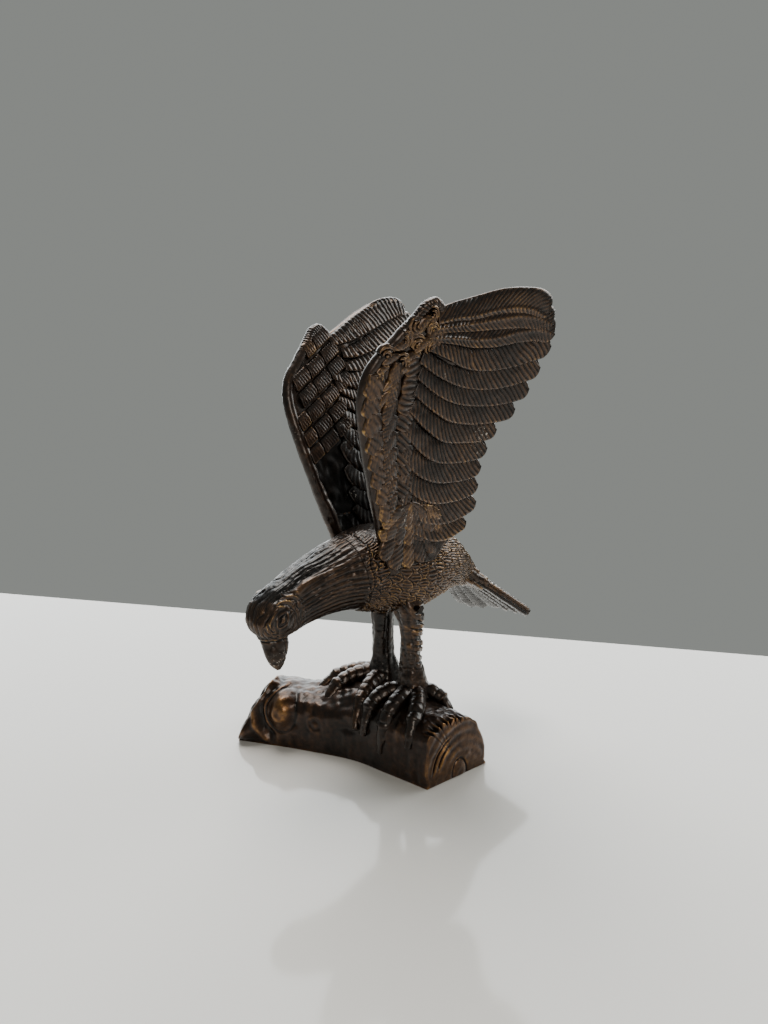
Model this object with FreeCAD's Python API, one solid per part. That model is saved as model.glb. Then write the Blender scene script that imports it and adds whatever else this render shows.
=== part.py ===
# Bronze statuette of a landing eagle on a short log, as a foundry would build it.
# The body, the two wings, the tail, the two legs and the log are separate castings.
# Each joint is a tenon in a socket, held by a driven pin, and the feet are bolted
# through the crown of the hollow log. Millimetres, +Z up, the bird faces -Y and its
# left side is +X. The origin is on the table plane, below the middle of the two legs.
import FreeCAD
import Part
import math
import os

from FreeCAD import Vector

# ---- log ------------------------------------------------------------------------
log_length = 80.0            # along X, from the sawn right end to the ground edge of the left end
log_right_x = 32.3           # plane of the sawn right end
log_height = 22.5            # crown of the log above the table
log_wall = 4.0               # metal left around the hollow underside
web_width = 7.0              # solid web across the hollow, under the origin
left_end_lean = 12.0         # how far the broken left end leans in over the log's height
ground_trim = 1.0            # metal cast below the table plane and ground off flat
stud_boss_radius = 6.5       # thick pad under each foot
stud_boss_face_z = 13.0      # flat face that each washer bears on

# ---- legs and feet -----------------------------------------------------------------
leg_length = 29.5            # from the log's crown to the seat under the thigh
left_foot = (9.5, 0.0)       # X and Y of each shank
right_foot = (-9.0, 1.0)
shank_radius = 4.1
ankle_radius = 5.2
thigh_radius = 5.6
thigh_boss_start = 0.3       # how far the thigh's boss on the body stands outside the leg
thigh_boss_flare = 1.2
thigh_boss_height = 10.0
toe_radius = 2.5
toe_root_share = 1.15        # a toe's radius at the foot and at the claw, as shares
toe_tip_share = 0.55
toe_gap = 0.15               # clearance between a cast toe and the bark below it

# ---- body --------------------------------------------------------------------------
torso_half_width = 16.5
torso_half_height = 16.5
torso_above_seat = 17.0      # torso centre above the thigh seat
body_wall = 6.0              # metal around the cored belly
core_drop = 3.0              # core's middle below the torso's
core_side_wall = 3.0         # more metal at the core's two sides
shoulder_x = 11.5            # flat shoulder face that a wing seats on
shoulder_rise = 1.0          # shoulder step above the torso centre
shoulder_front_y = -24.0     # the seat's ends along the back
shoulder_rear_y = 17.0
head_half_width = 8.4

# ---- wings and tail ----------------------------------------------------------------
wing_height = 79.5           # from the shoulder line to the top of the primaries
wing_chord = 75.0            # greatest reach along Y, wrist to primary tip
wing_root_thickness = 5.0
wing_tip_thickness = 2.6
wing_flare = 21.0            # how far the wing top stands outside its root
wing_twist = 6.0             # how much further the primaries turn outwards
twist_start_y = 12.0
twist_span_y = 35.0
wing_sink = 1.5              # foot of the wing's outline below the top of the back
wing_root_step = 2.0         # how far the blade's foot steps in from its outline
feather_bulge = 1.0          # how far each feather tip stands proud of its chord
tail_length = 28.0
tail_half_width = 18.7
tail_thickness = 3.6
tail_slope = 39.5            # degrees below the horizontal
tail_roll = 8.0              # degrees that the left edge stands above the right one
tail_tips = 7                # feather tips along the fan's rounded end
tail_tip_bulge = 1.6
tail_neck_length = 12.0      # where the thick root has thinned to the fan
tail_neck_flare = 2.5        # neck's half width past the root's
tail_neck_swell = 0.4        # neck's skin above the fan's

# ---- joints ------------------------------------------------------------------------
socket_gap = 0.15            # all round each tenon
pin_gap = 0.04               # all round each driven pin
pin_overshoot = 5.0          # pins are cut this much too long, then filed flush
wing_tenon = (6.0, 14.0, 6.0)        # X, Y and Z size
wing_tenon_y = -3.0          # middle of the tenon and of its pin
wing_tenon_rise = 4.0        # tenon's underside above the shoulder step
wing_pin_radius = 1.3
wing_pin_length = 13.0
leg_tenon_radius = 3.0
leg_tenon_length = 9.0
leg_pin_radius = 1.1
leg_pin_bite = 2.0           # how far the pin goes in past the tenon
leg_pin_reach = 12.0         # the pin before it is filed, out from the leg's middle
tail_tenon = (10.0, 7.0, 3.2)        # X, length along the tail, thickness
tail_pin_radius = 1.1
socket_web = 2.5             # metal left between a socket and the core
core_hole_radius = 3.0
core_hole_y = -12.0
core_plug_depth = 5.5        # top of the plug above the lowest line of the torso
stud_radius = 2.0            # M4 studding
stud_hole_gap = 0.25
stud_in_leg = 12.0           # length of stud screwed up into the ankle
washer_radius = 4.4
washer_thickness = 0.8
washer_room = 0.6            # all round a washer in its pocket
nut_across_flats = 7.0
nut_height = 3.2
stud_tail = 1.2              # stud showing below the nut

# ---- levels that follow from the sizes above -------------------------------------------
seat_z = log_height + leg_length
torso_z = seat_z + torso_above_seat
shoulder_z = torso_z + shoulder_rise
wing_base_z = torso_z + torso_half_height - wing_sink
feet = (left_foot, right_foot)
big = 200.0                  # past every edge of the statuette


def export(name, shape):
    shape.exportStep("parts/" + name + ".step")


def box(x0, x1, y0, y1, z0, z1):
    return Part.makeBox(x1 - x0, y1 - y0, z1 - z0, Vector(x0, y0, z0))


def rod(radius, start, end):
    axis = end.sub(start)
    return Part.makeCylinder(radius, axis.Length, start, axis)


def smooth_face(points, closed):
    curve = Part.BSplineCurve()
    curve.interpolate(points, PeriodicFlag=closed)
    return curve.toShape()


def only_solid(shape):
    """The largest solid of a boolean result."""
    return max(shape.Solids, key=lambda s: s.Volume)


# =====================================================================================
# Log: D-shaped sections along a bent line, sawn square at the right end
# =====================================================================================
# Each station is its share of the log's length, the line's Y, the heading in degrees
# towards the bird's front, the half width and the share of the full height.
log_stations = [
    (0.00, 1.2, 0.0, 13.6, 1.00),
    (0.24, -1.0, 9.0, 16.0, 1.00),
    (0.47, -4.0, 20.0, 18.0, 1.02),
    (0.72, -17.5, 32.0, 16.0, 0.92),
    (1.00, -36.3, 35.0, 13.0, 0.98),
]
# Outline of a section, from the near ground edge over the crown to the far one.
log_profile = [(-1.0, 0.0), (-1.0, 0.45), (-0.9, 0.8), (-0.5, 0.97), (0.0, 1.0),
               (0.45, 0.9), (0.8, 0.6), (0.97, 0.27), (1.0, 0.0)]
log_knot = (-19.5, 1.0, -6.0, 9.0)   # X, Y, height from the crown and radius of a round burr


def log_section(station, grow, floor):
    share, line_y, heading, half_width, height_share = station
    turn = math.radians(heading)
    centre = Vector(log_right_x - share * log_length, line_y, 0)
    across = Vector(-math.sin(turn), math.cos(turn), 0)
    along = Vector(-math.cos(turn), -math.sin(turn), 0)
    end_shift = {0.0: -grow, 1.0: grow}.get(share, 0.0)
    width = half_width + grow
    height = log_height * height_share + grow
    points = [centre + across * (s * width) + along * end_shift + Vector(0, 0, floor + (height - floor) * h)
              for s, h in log_profile]
    top = smooth_face(points, False)
    bottom = Part.makeLine(points[-1], points[0])
    return Part.Wire([top, bottom])


def log_solid(grow, floor=-ground_trim):
    """The log's outer shape, grown or shrunk all round, with its left end leaning in."""
    body = Part.makeLoft([log_section(s, grow, floor) for s in log_stations], True, False)
    share, line_y, heading, _, _ = log_stations[-1]
    lean = math.degrees(math.atan2(left_end_lean, log_height))
    cutter = box(0, big, -big, big, -big, big)
    cutter.rotate(Vector(0, 0, 0), Vector(0, 1, 0), -lean)
    cutter.translate(Vector(grow, 0, 0))
    cutter.rotate(Vector(0, 0, 0), Vector(0, 0, 1), 180 + heading)
    cutter.translate(Vector(log_right_x - share * log_length, line_y, 0))
    body = body.cut(cutter)
    if grow >= 0:
        x, y, rise, radius = log_knot
        body = body.fuse(Part.makeSphere(radius + grow, Vector(x, y, log_height + rise)))
    return only_solid(body)


def make_log():
    log = log_solid(0.0).cut(box(-big, big, -big, big, -big, 0))
    hollow = log_solid(-log_wall, -2 * ground_trim)
    hollow = hollow.cut(box(-web_width / 2, web_width / 2, -big, big, -big, big))
    for x, y in feet:
        hollow = hollow.cut(Part.makeCylinder(stud_boss_radius, big, Vector(x, y, stud_boss_face_z)))
    log = log.cut(hollow)
    for x, y in feet:
        log = log.cut(Part.makeCylinder(stud_radius + stud_hole_gap, big, Vector(x, y, 0)))
        log = log.cut(Part.makeCylinder(washer_radius + washer_room, stud_boss_face_z + 1, Vector(x, y, -1)))
    return only_solid(log)


# =====================================================================================
# Body: one hollow casting of torso, neck, head and beak
# =====================================================================================
# Each station is X, Y, height above the torso centre, pitch of the section in degrees,
# half width and half height.
body_stations = [
    (0.0, 30.5, -7.0, -tail_slope, 8.5, 5.6),
    (0.0, 26.0, -4.5, -31.0, 10.8, 8.6),
    (0.0, 20.0, -2.4, -22.0, 13.2, 11.6),
    (0.0, 12.0, -0.8, -10.0, 15.6, 14.8),
    (0.0, 2.0, 0.0, 0.0, torso_half_width, torso_half_height),
    (0.0, -12.0, 1.6, 4.0, 15.2, 15.4),
    (0.0, -23.0, 1.9, 12.0, 12.8, 13.9),
    (0.0, -34.5, 0.0, 18.0, 10.2, 11.6),
    (0.5, -41.5, -2.5, 27.0, 9.0, 10.4),
    (1.0, -48.0, -5.3, 36.0, head_half_width, 9.7),
]
skull = (2.0, -49.9, -6.9, 8.5)      # X, Y, height above the torso centre and radius
beak_stations = [
    (3.0, -51.2, -9.5, 70.0, 4.4, 5.0),
    (4.4, -51.3, -14.2, 80.0, 3.8, 4.7),
    (6.0, -51.9, -18.4, 88.0, 2.6, 3.2),
    (7.5, -52.3, -22.3, 92.0, 0.8, 0.8),
]


def oval(station, shrink):
    x, y, rise, pitch, half_width, half_height = station
    turn = math.radians(pitch)
    centre = Vector(x, y, torso_z + rise)
    up = Vector(0, -math.sin(turn), math.cos(turn))
    points = []
    for i in range(16):
        a = 2 * math.pi * i / 16
        side = Vector(1, 0, 0) * ((half_width - shrink) * math.cos(a))
        points.append(centre + side + up * ((half_height - shrink) * math.sin(a)))
    return Part.Wire([smooth_face(points, True)])


def torso_solid():
    return Part.makeLoft([oval(s, 0.0) for s in body_stations], True, False)


def wing_seat(side):
    """The slice of shoulder that belongs to a wing casting: outside the flat face."""
    near, far = shoulder_x * side, big * side
    return box(min(near, far), max(near, far), shoulder_front_y, shoulder_rear_y, shoulder_z, big)


def wing_tenon_box(side, gap):
    length, depth, height = wing_tenon
    inner = (shoulder_x - length) * side - gap * side
    outer = shoulder_x * side
    y = wing_tenon_y
    z = shoulder_z + wing_tenon_rise
    return box(min(inner, outer), max(inner, outer), y - depth / 2 - gap, y + depth / 2 + gap,
               z - gap, z + height + gap)


def wing_pin_rod(side, gap):
    """Driven down from the back through the tenon, and far out above the back."""
    x = (shoulder_x - wing_tenon[0] / 2) * side
    top = torso_z + torso_half_height * math.sqrt(1 - (x / torso_half_width) ** 2)
    low = Vector(x, wing_tenon_y, top - wing_pin_length - gap)
    return rod(wing_pin_radius + gap, low, Vector(x, wing_tenon_y, top + pin_overshoot))


def thigh_boss(foot):
    x, y = foot
    return Part.makeCone(thigh_radius + thigh_boss_start, thigh_radius + thigh_boss_flare,
                         thigh_boss_height, Vector(x, y, seat_z), Vector(0, 0, 1))


def leg_tenon_rod(foot, gap):
    x, y = foot
    return rod(leg_tenon_radius + gap, Vector(x, y, seat_z), Vector(x, y, seat_z + leg_tenon_length + gap))


def leg_pin_rod(foot, gap):
    """Driven in level from the flank through the tenon, and far out past the thigh."""
    x, y = foot
    side = math.copysign(1.0, x)
    z = seat_z + leg_tenon_length / 2
    inner = x - side * (leg_tenon_radius + leg_pin_bite + gap)
    return rod(leg_pin_radius + gap, Vector(inner, y, z), Vector(x + side * leg_pin_reach, y, z))


def tail_place(shape):
    """Turns a shape built along +Y at the origin into the tail's own slope and place."""
    _, y, rise, pitch, _, _ = body_stations[0]
    shape.rotate(Vector(0, 0, 0), Vector(1, 0, 0), pitch)
    shape.translate(Vector(0, y, torso_z + rise))
    return shape


def tail_tenon_box(gap):
    width, length, thickness = tail_tenon
    return tail_place(box(-width / 2 - gap, width / 2 + gap, -length - gap, 0,
                          -thickness / 2 - gap, thickness / 2 + gap))


def tail_pin_rod(gap):
    reach = body_stations[0][5] + pin_overshoot
    y = -tail_tenon[1] / 2
    return tail_place(rod(tail_pin_radius + gap, Vector(0, y, -reach), Vector(0, y, reach)))


def core_hole():
    return rod(core_hole_radius, Vector(0, core_hole_y, 0), Vector(0, core_hole_y, torso_z))


def outer_body():
    """The cast skin of the bird before its seats, sockets and pin holes are cut."""
    x, y, rise, radius = skull
    body = torso_solid().fuse(Part.makeSphere(radius, Vector(x, y, torso_z + rise)))
    body = body.fuse(Part.makeLoft([oval(s, 0.0) for s in beak_stations], True, False))
    for foot in feet:
        body = body.fuse(thigh_boss(foot))
    return body


def flush_pin(shape):
    """A driven pin, filed flush with the skin of the casting."""
    return only_solid(shape.common(outer_body()))


def make_body():
    body = outer_body().cut(wing_seat(1)).cut(wing_seat(-1))
    ovals = [oval((x, y, rise - core_drop, pitch, w - core_side_wall, h), body_wall)
             for x, y, rise, pitch, w, h in body_stations[2:7]]
    core = Part.makeLoft(ovals, True, False)
    web_x = shoulder_x - wing_tenon[0] - socket_web
    for side in (1, -1):
        near, far = sorted((web_x * side, big * side))
        core = core.cut(box(near, far, -big, big, shoulder_z, big))
    for x, y in feet:
        core = core.cut(Part.makeCylinder(leg_tenon_radius + socket_web, leg_tenon_length + socket_web,
                                          Vector(x, y, seat_z)))
    body = body.cut(core).cut(core_hole())
    for side in (1, -1):
        body = body.cut(wing_tenon_box(side, socket_gap)).cut(wing_pin_rod(side, pin_gap))
    for foot in feet:
        body = body.cut(leg_tenon_rod(foot, socket_gap)).cut(leg_pin_rod(foot, pin_gap))
    return only_solid(body.cut(tail_tenon_box(socket_gap)).cut(tail_pin_rod(pin_gap)))


# =====================================================================================
# Wings: thin castings that flare outwards as they rise, with feather tips behind
# =====================================================================================
# Outlines as shares of the chord (0 at the shoulder's front) and of the wing's height.
# The leading edge ends on the wrist's bump, and the upper edge starts in the notch behind it.
left_leading = [(0.06, 0.0), (0.0, 0.185), (-0.04, 0.30), (-0.08, 0.44), (-0.112, 0.575), (-0.11, 0.65),
                (-0.065, 0.737), (0.025, 0.825), (0.105, 0.902), (0.16, 0.951), (0.197, 0.96), (0.234, 0.945)]
left_upper = [(0.25, 0.907), (0.31, 0.932), (0.413, 0.952), (0.52, 0.971), (0.65, 0.99), (0.71, 0.985),
              (0.77, 0.95), (0.825, 0.885), (0.865, 0.81), (0.855, 0.745)]
right_leading = [(0.03, 0.0), (-0.023, 0.162), (-0.06, 0.317), (-0.094, 0.47), (-0.102, 0.557),
                 (-0.09, 0.63), (-0.062, 0.684), (-0.007, 0.747), (0.07, 0.834), (0.117, 0.89),
                 (0.162, 0.904), (0.202, 0.88)]
right_upper = [(0.217, 0.84), (0.317, 0.90), (0.43, 0.956), (0.516, 0.981), (0.624, 1.012), (0.704, 1.02),
               (0.735, 1.0), (0.75, 0.95), (0.785, 0.84), (0.82, 0.745)]
trailing = [(0.845, 0.70), (0.83, 0.66), (0.80, 0.615), (0.78, 0.565), (0.735, 0.515), (0.675, 0.47),
            (0.635, 0.415), (0.61, 0.36), (0.59, 0.30), (0.585, 0.24), (0.59, 0.18), (0.59, 0.12),
            (0.57, 0.06), (0.50, 0.01)]
wing_front_y = -20.0


def wing_point(share):
    return Vector(0, wing_front_y + share[0] * wing_chord, wing_base_z + share[1] * wing_height)


def wing_outline(leading, upper):
    front = smooth_face([wing_point(p) for p in leading], False)
    notch = Part.makeLine(wing_point(leading[-1]), wing_point(upper[0]))
    edges = [front, notch, smooth_face([wing_point(p) for p in upper], False)]
    tips = [wing_point(p) for p in upper[-1:] + trailing]
    for start, end in zip(tips, tips[1:]):
        step = end.sub(start)
        outwards = Vector(0, -step.z, step.y).normalize()
        middle = (start + end) * 0.5 + outwards * feather_bulge
        edges.append(Part.Arc(start, middle, end).toShape())
    low_front = wing_point(leading[0])
    foot_z = shoulder_z + wing_root_step
    bottom = [tips[-1], Vector(0, tips[-1].y - wing_root_step, foot_z),
              Vector(0, low_front.y + wing_root_step, foot_z), low_front]
    edges += [Part.makeLine(a, b) for a, b in zip(bottom, bottom[1:])]
    return Part.Wire(Part.__sortEdges__(edges))


def flare_x(y, rise):
    """Outward reach of the wing's inner face at a place along Y and a height above its base."""
    share = max(rise, 0.0) / wing_height
    twist = wing_twist * max((y - twist_start_y) / twist_span_y, 0.0) * share
    return shoulder_x + wing_flare * (0.6 * share + 0.4 * share * share) + twist


def slab_section(y):
    """Closed outline of the blade's thickness in an upright plane across the wing."""
    heights = [shoulder_z + 1.0 - wing_base_z] + [wing_height * k / 5 for k in range(7)]
    inner = []
    outer = []
    for h in heights:
        share = min(max(h, 0.0) / wing_height, 1.0)
        thick = wing_root_thickness + (wing_tip_thickness - wing_root_thickness) * share
        inner.append(Vector(flare_x(y, h), y, wing_base_z + h))
        outer.append(Vector(flare_x(y, h) + thick, y, wing_base_z + h))
    inside = smooth_face(inner, False)
    outside = smooth_face(outer[::-1], False)
    tip = Part.makeLine(inner[-1], outer[-1])
    root = Part.makeLine(outer[0], inner[0])
    return Part.Wire([inside, tip, outside, root])


def wing_slab():
    return Part.makeLoft([slab_section(y) for y in (-big, twist_start_y, big)], True, True)


def make_wing(side, leading, upper):
    blade = Part.Face(wing_outline(leading, upper)).extrude(Vector(big, 0, 0)).common(wing_slab())
    blade = blade.common(box(shoulder_x, big, -big, big, shoulder_z, big))
    if side < 0:
        blade = blade.mirror(Vector(0, 0, 0), Vector(1, 0, 0))
    shoulder = torso_solid().common(wing_seat(side))
    wing = only_solid(blade.fuse(shoulder)).fuse(wing_tenon_box(side, 0.0))
    return only_solid(wing.cut(wing_pin_rod(side, pin_gap)))


# =====================================================================================
# Tail: a flat fan of feathers on a tongue
# =====================================================================================


def tail_fan():
    """Flat fan about the point where its straight sides would meet, in its own plane."""
    root_width = body_stations[0][4]
    apex = tail_length * root_width / (tail_half_width - root_width)
    half_angle = math.atan2(tail_half_width, tail_length + apex)
    radius = math.hypot(tail_half_width, tail_length + apex)
    tips = []
    for i in range(tail_tips + 1):
        a = half_angle * (2 * i / tail_tips - 1)
        tips.append(Vector(radius * math.sin(a), radius * math.cos(a) - apex, 0))
    edges = []
    for a, b in zip(tips, tips[1:]):
        middle = (a + b) * 0.5
        out = Vector(middle.x, middle.y + apex, 0).normalize()
        edges.append(Part.Arc(a, middle + out * tail_tip_bulge, b).toShape())
    root = [tips[-1], Vector(root_width, 1.0, 0), Vector(-root_width, 1.0, 0), tips[0]]
    edges += [Part.makeLine(a, b) for a, b in zip(root, root[1:])]
    fan = Part.Face(Part.Wire(Part.__sortEdges__(edges))).extrude(Vector(0, 0, tail_thickness))
    fan.translate(Vector(0, 0, -tail_thickness / 2))
    fan.rotate(Vector(0, 0, 0), Vector(0, 1, 0), -tail_roll)
    return fan


def make_tail():
    root_width, root_height = body_stations[0][4], body_stations[0][5]
    root = (0, 0, -torso_z, 0, root_width, root_height)
    neck = (0, tail_neck_length, -torso_z, 0, root_width + tail_neck_flare,
            tail_thickness / 2 + tail_neck_swell)
    block = Part.makeLoft([oval(root, 0.0), oval(neck, 0.0)], True, False)
    fan = tail_fan().cut(box(-big, big, -big, 0, -big, big))
    tail = tail_place(fan.fuse(block)).fuse(tail_tenon_box(0.0))
    return only_solid(tail.cut(tail_pin_rod(pin_gap)))


# =====================================================================================
# Legs: a scaled shank, an ankle and four gripping toes in one casting
# =====================================================================================
# Toes as offsets from the foot's centre: X, Y and height above the log's crown.
left_toes = [
    [(0.0, -2.0, 1.5), (-4.5, -10.5, 2.0), (-3.5, -17.5, -3.0), (-3.0, -20.5, -9.0)],
    [(1.5, -2.0, 1.5), (4.0, -10.5, 1.5), (4.5, -15.5, -2.5), (3.4, -17.0, -14.0)],
    [(2.0, -1.0, 1.5), (9.5, -5.0, 1.5), (14.0, -11.0, -1.5), (15.5, -14.5, -8.0)],
    [(1.0, 1.5, 1.5), (8.0, 5.5, 1.0), (13.0, 7.5, -2.5)],
]
right_toes = [
    [(0.0, -2.0, 1.5), (5.7, -12.5, 1.5), (8.7, -18.0, -1.5), (11.7, -22.5, -8.5)],
    [(-1.5, -2.0, 1.5), (-6.3, -11.0, 2.0), (-6.3, -18.5, 0.0), (-4.3, -24.5, -5.0)],
    [(-2.0, -1.0, 1.5), (-9.8, -7.0, 2.0), (-13.8, -15.0, 0.0), (-14.3, -22.0, -3.0)],
    [(-1.0, 1.5, 1.5), (-3.0, 8.0, 0.5), (-4.5, 12.5, -4.0)],
]


# A shank's rings below the seat and an ankle's above the crown: height, then radius past the nominal.
shank_rings = [(8.0, 0.3), (16.5, 0.0)]
ankle_rings = [(6.0, 0.0), (-6.0, 1.0)]


def toe_solid(foot, path):
    """Tapering knuckled toe: cones between balls that shrink towards the claw."""
    points = [Vector(foot[0] + x, foot[1] + y, log_height + z) for x, y, z in path]
    drop = (toe_root_share - toe_tip_share) / (len(points) - 1)
    radii = [toe_radius * (toe_root_share - drop * i) for i in range(len(points))]
    toe = Part.makeSphere(radii[0], points[0])
    for i in range(1, len(points)):
        axis = points[i].sub(points[i - 1])
        toe = toe.fuse(Part.makeCone(radii[i - 1], radii[i], axis.Length, points[i - 1], axis))
        toe = toe.fuse(Part.makeSphere(radii[i], points[i]))
    return toe


def make_leg(foot, toes):
    x, y = foot
    rings = [(seat_z, thigh_radius)]
    rings += [(seat_z - drop, shank_radius + more) for drop, more in shank_rings]
    rings += [(log_height + rise, ankle_radius + more) for rise, more in ankle_rings]
    leg = Part.makeLoft([Part.Wire([Part.makeCircle(r, Vector(x, y, z))]) for z, r in rings], True, False)
    for path in toes:
        leg = leg.fuse(toe_solid(foot, path))
    leg = only_solid(leg.cut(log_solid(toe_gap))).fuse(leg_tenon_rod(foot, 0.0))
    leg = leg.cut(rod(stud_radius, Vector(x, y, 0), Vector(x, y, log_height + stud_in_leg)))
    return only_solid(leg.cut(leg_pin_rod(foot, pin_gap)))


# =====================================================================================
# Fasteners
# =====================================================================================
def make_nut(foot):
    x, y = foot
    top = stud_boss_face_z - washer_thickness
    radius = nut_across_flats / math.sqrt(3)
    turns = [math.radians(60 * k) for k in range(7)]
    corners = [Vector(x + radius * math.cos(t), y + radius * math.sin(t), top - nut_height) for t in turns]
    nut = Part.Face(Part.makePolygon(corners)).extrude(Vector(0, 0, nut_height))
    return nut.cut(rod(stud_radius, Vector(x, y, 0), Vector(x, y, big)))


def make_washer(foot):
    x, y = foot
    under = Vector(x, y, stud_boss_face_z - washer_thickness)
    disc = Part.makeCylinder(washer_radius, washer_thickness, under)
    return disc.cut(rod(stud_radius + stud_hole_gap, Vector(x, y, 0), Vector(x, y, big)))


def make_stud(foot):
    x, y = foot
    low = stud_boss_face_z - washer_thickness - nut_height - stud_tail
    return rod(stud_radius, Vector(x, y, low), Vector(x, y, log_height + stud_in_leg))


def make_core_plug():
    top = torso_z - torso_half_height + core_plug_depth
    plug = torso_solid().common(core_hole())
    return only_solid(plug.common(box(-big, big, -big, big, 0, top)))


os.makedirs("parts", exist_ok=True)
export("log_base", make_log())
export("body", make_body())
export("left_wing", make_wing(1, left_leading, left_upper))
export("right_wing", make_wing(-1, right_leading, right_upper))
export("tail", make_tail())
export("left_leg", make_leg(left_foot, left_toes))
export("right_leg", make_leg(right_foot, right_toes))
export("left_wing_pin", flush_pin(wing_pin_rod(1, 0.0)))
export("right_wing_pin", flush_pin(wing_pin_rod(-1, 0.0)))
export("tail_pin", flush_pin(tail_pin_rod(0.0)))
export("leg_pins", Part.makeCompound([flush_pin(leg_pin_rod(foot, 0.0)) for foot in feet]))
export("core_plug", make_core_plug())
export("foot_studs", Part.makeCompound([make_stud(foot) for foot in feet]))
export("foot_washers", Part.makeCompound([make_washer(foot) for foot in feet]))
export("foot_nuts", Part.makeCompound([make_nut(foot) for foot in feet]))
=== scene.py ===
import math

import bpy
import numpy as np
from mathutils import Matrix, Vector


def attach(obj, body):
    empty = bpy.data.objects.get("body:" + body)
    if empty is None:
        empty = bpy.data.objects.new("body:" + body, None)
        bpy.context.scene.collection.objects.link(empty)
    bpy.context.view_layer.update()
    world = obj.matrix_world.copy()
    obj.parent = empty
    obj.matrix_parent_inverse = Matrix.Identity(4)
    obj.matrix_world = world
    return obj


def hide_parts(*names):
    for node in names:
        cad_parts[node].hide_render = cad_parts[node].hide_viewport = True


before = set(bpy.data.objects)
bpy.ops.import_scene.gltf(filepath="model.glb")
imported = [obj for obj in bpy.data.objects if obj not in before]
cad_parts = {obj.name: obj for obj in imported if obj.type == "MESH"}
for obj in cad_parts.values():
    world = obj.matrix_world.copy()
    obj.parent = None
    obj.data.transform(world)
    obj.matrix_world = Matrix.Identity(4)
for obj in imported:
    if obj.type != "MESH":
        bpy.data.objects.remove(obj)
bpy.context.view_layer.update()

# ---------------------------------------------------------------------------
# Log: a short bent length of trunk, cast hollow in bronze with a bolting pad
# under each foot and a web across the middle. The right end is sawn square,
# the left end is broken back, and the bark is chased by hand after casting.
# ---------------------------------------------------------------------------


def smooth_line(points, count, space=3):
    """Places evenly spaced along a smooth line through the points: each span is a cubic that has the slope
    of the neighbours' line at both of its ends. The first `space` columns are the place, and the rest are
    carried along."""
    p = np.array(points, float)
    gap = np.linalg.norm(np.diff(p[:, :space], axis=0), axis=1)
    t = np.concatenate([[0.0], np.cumsum(gap)])
    slope = np.gradient(p, t, axis=0)
    fine = np.linspace(0, t[-1], 24 * len(p))
    k = np.clip(np.searchsorted(t, fine, side="right") - 1, 0, len(p) - 2)
    h = gap[k][:, None]
    u = ((fine - t[k]) / gap[k])[:, None]
    q = (2 * u**3 - 3 * u**2 + 1) * p[k] + (u**3 - 2 * u**2 + u) * h * slope[k]
    q += (3 * u**2 - 2 * u**3) * p[k + 1] + (u**3 - u**2) * h * slope[k + 1]
    run = np.concatenate([[0.0], np.cumsum(np.linalg.norm(np.diff(q[:, :space], axis=0), axis=1))])
    even = np.linspace(0, run[-1], count)
    return np.stack([np.interp(even, run, q[:, c]) for c in range(q.shape[1])], axis=1)


def lumps(points, size, seed=0.0):
    """Smooth random height from -1 to 1: a value is hashed at each corner of a lattice of `size` mm, and
    the eight corners round a point are blended by how near they are."""
    q = points / size
    cell = np.floor(q)
    f = q - cell
    f = f * f * (3 - 2 * f)
    total = np.zeros(points.shape[:-1])
    for cx, cy, cz in np.ndindex(2, 2, 2):
        x, y, z = np.moveaxis(cell + (cx, cy, cz), -1, 0)
        noise = np.sin(x * 127.1 + y * 311.7 + z * 74.7 + seed * 17.3) * 43758.5453
        near = np.abs(1 - cx - f[..., 0]) * np.abs(1 - cy - f[..., 1]) * np.abs(1 - cz - f[..., 2])
        total += near * (2 * (noise - np.floor(noise)) - 1)
    return total


def ease(x, low, high):
    """0 below `low`, 1 above `high`, and a smooth S between them."""
    u = np.clip((x - low) / (high - low), 0, 1)
    return u * u * (3 - 2 * u)


def wane(x, low, high):
    """1 below `low`, 0 above `high`, and a smooth S between them."""
    return 1 - ease(x, low, high)


def hump(x, middle, width):
    """1 at `middle`, and beside it e to the minus square of the distance in units of `width`."""
    return np.exp(-((x - middle) / width) ** 2)


def distance(rings, place):
    """How far each point is from a place, in mm."""
    return np.linalg.norm(rings - place, axis=2)


def skin_normals(rings):
    """Unit normals of a tube given as rings of points: the slope along the tube crossed with the slope
    round it."""
    along = np.gradient(rings, axis=0)
    around = (np.roll(rings, -1, axis=1) - np.roll(rings, 1, axis=1)) / 2
    n = np.cross(along, around)
    return n / np.maximum(np.linalg.norm(n, axis=2, keepdims=True), 1e-9)


def facing_out(rings):
    """+1 if the crossed slopes point away from each ring's middle, or -1 if they point in."""
    n = skin_normals(rings)
    mid = len(rings) // 2
    away = rings[mid] - rings[mid].mean(axis=0)
    return 1.0 if np.sum(n[mid] * away) > 0 else -1.0


def raised(rings, height):
    """The tube with each point moved outwards along its normal by `height` mm."""
    return rings + facing_out(rings) * skin_normals(rings) * np.asarray(height)[..., None]


def rubbing(rings, gain=1.0):
    """How much a polishing cloth reaches each point, 0 to 1, with 0.4 on the flat. A point that stands
    outside the mean of the points a few steps away is rubbed bright, and one that lies inside it keeps its
    dark patina."""
    n = skin_normals(rings) * facing_out(rings)
    score = np.zeros(rings.shape[:2])
    for step, share in ((1, 0.3), (2, 0.4), (4, 0.3)):
        pad = np.concatenate([rings[:1].repeat(step, 0), rings, rings[-1:].repeat(step, 0)])
        before, after = np.roll(rings, step, 1), np.roll(rings, -step, 1)
        mean = (pad[2 * step:] + pad[:-2 * step] + before + after) / 4
        span = np.linalg.norm(before - after, axis=2) + 0.15
        score += share * np.sum((rings - mean) * n, axis=2) / span
    return np.clip(0.40 + gain * 2.0 * score, 0, 1)


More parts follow.
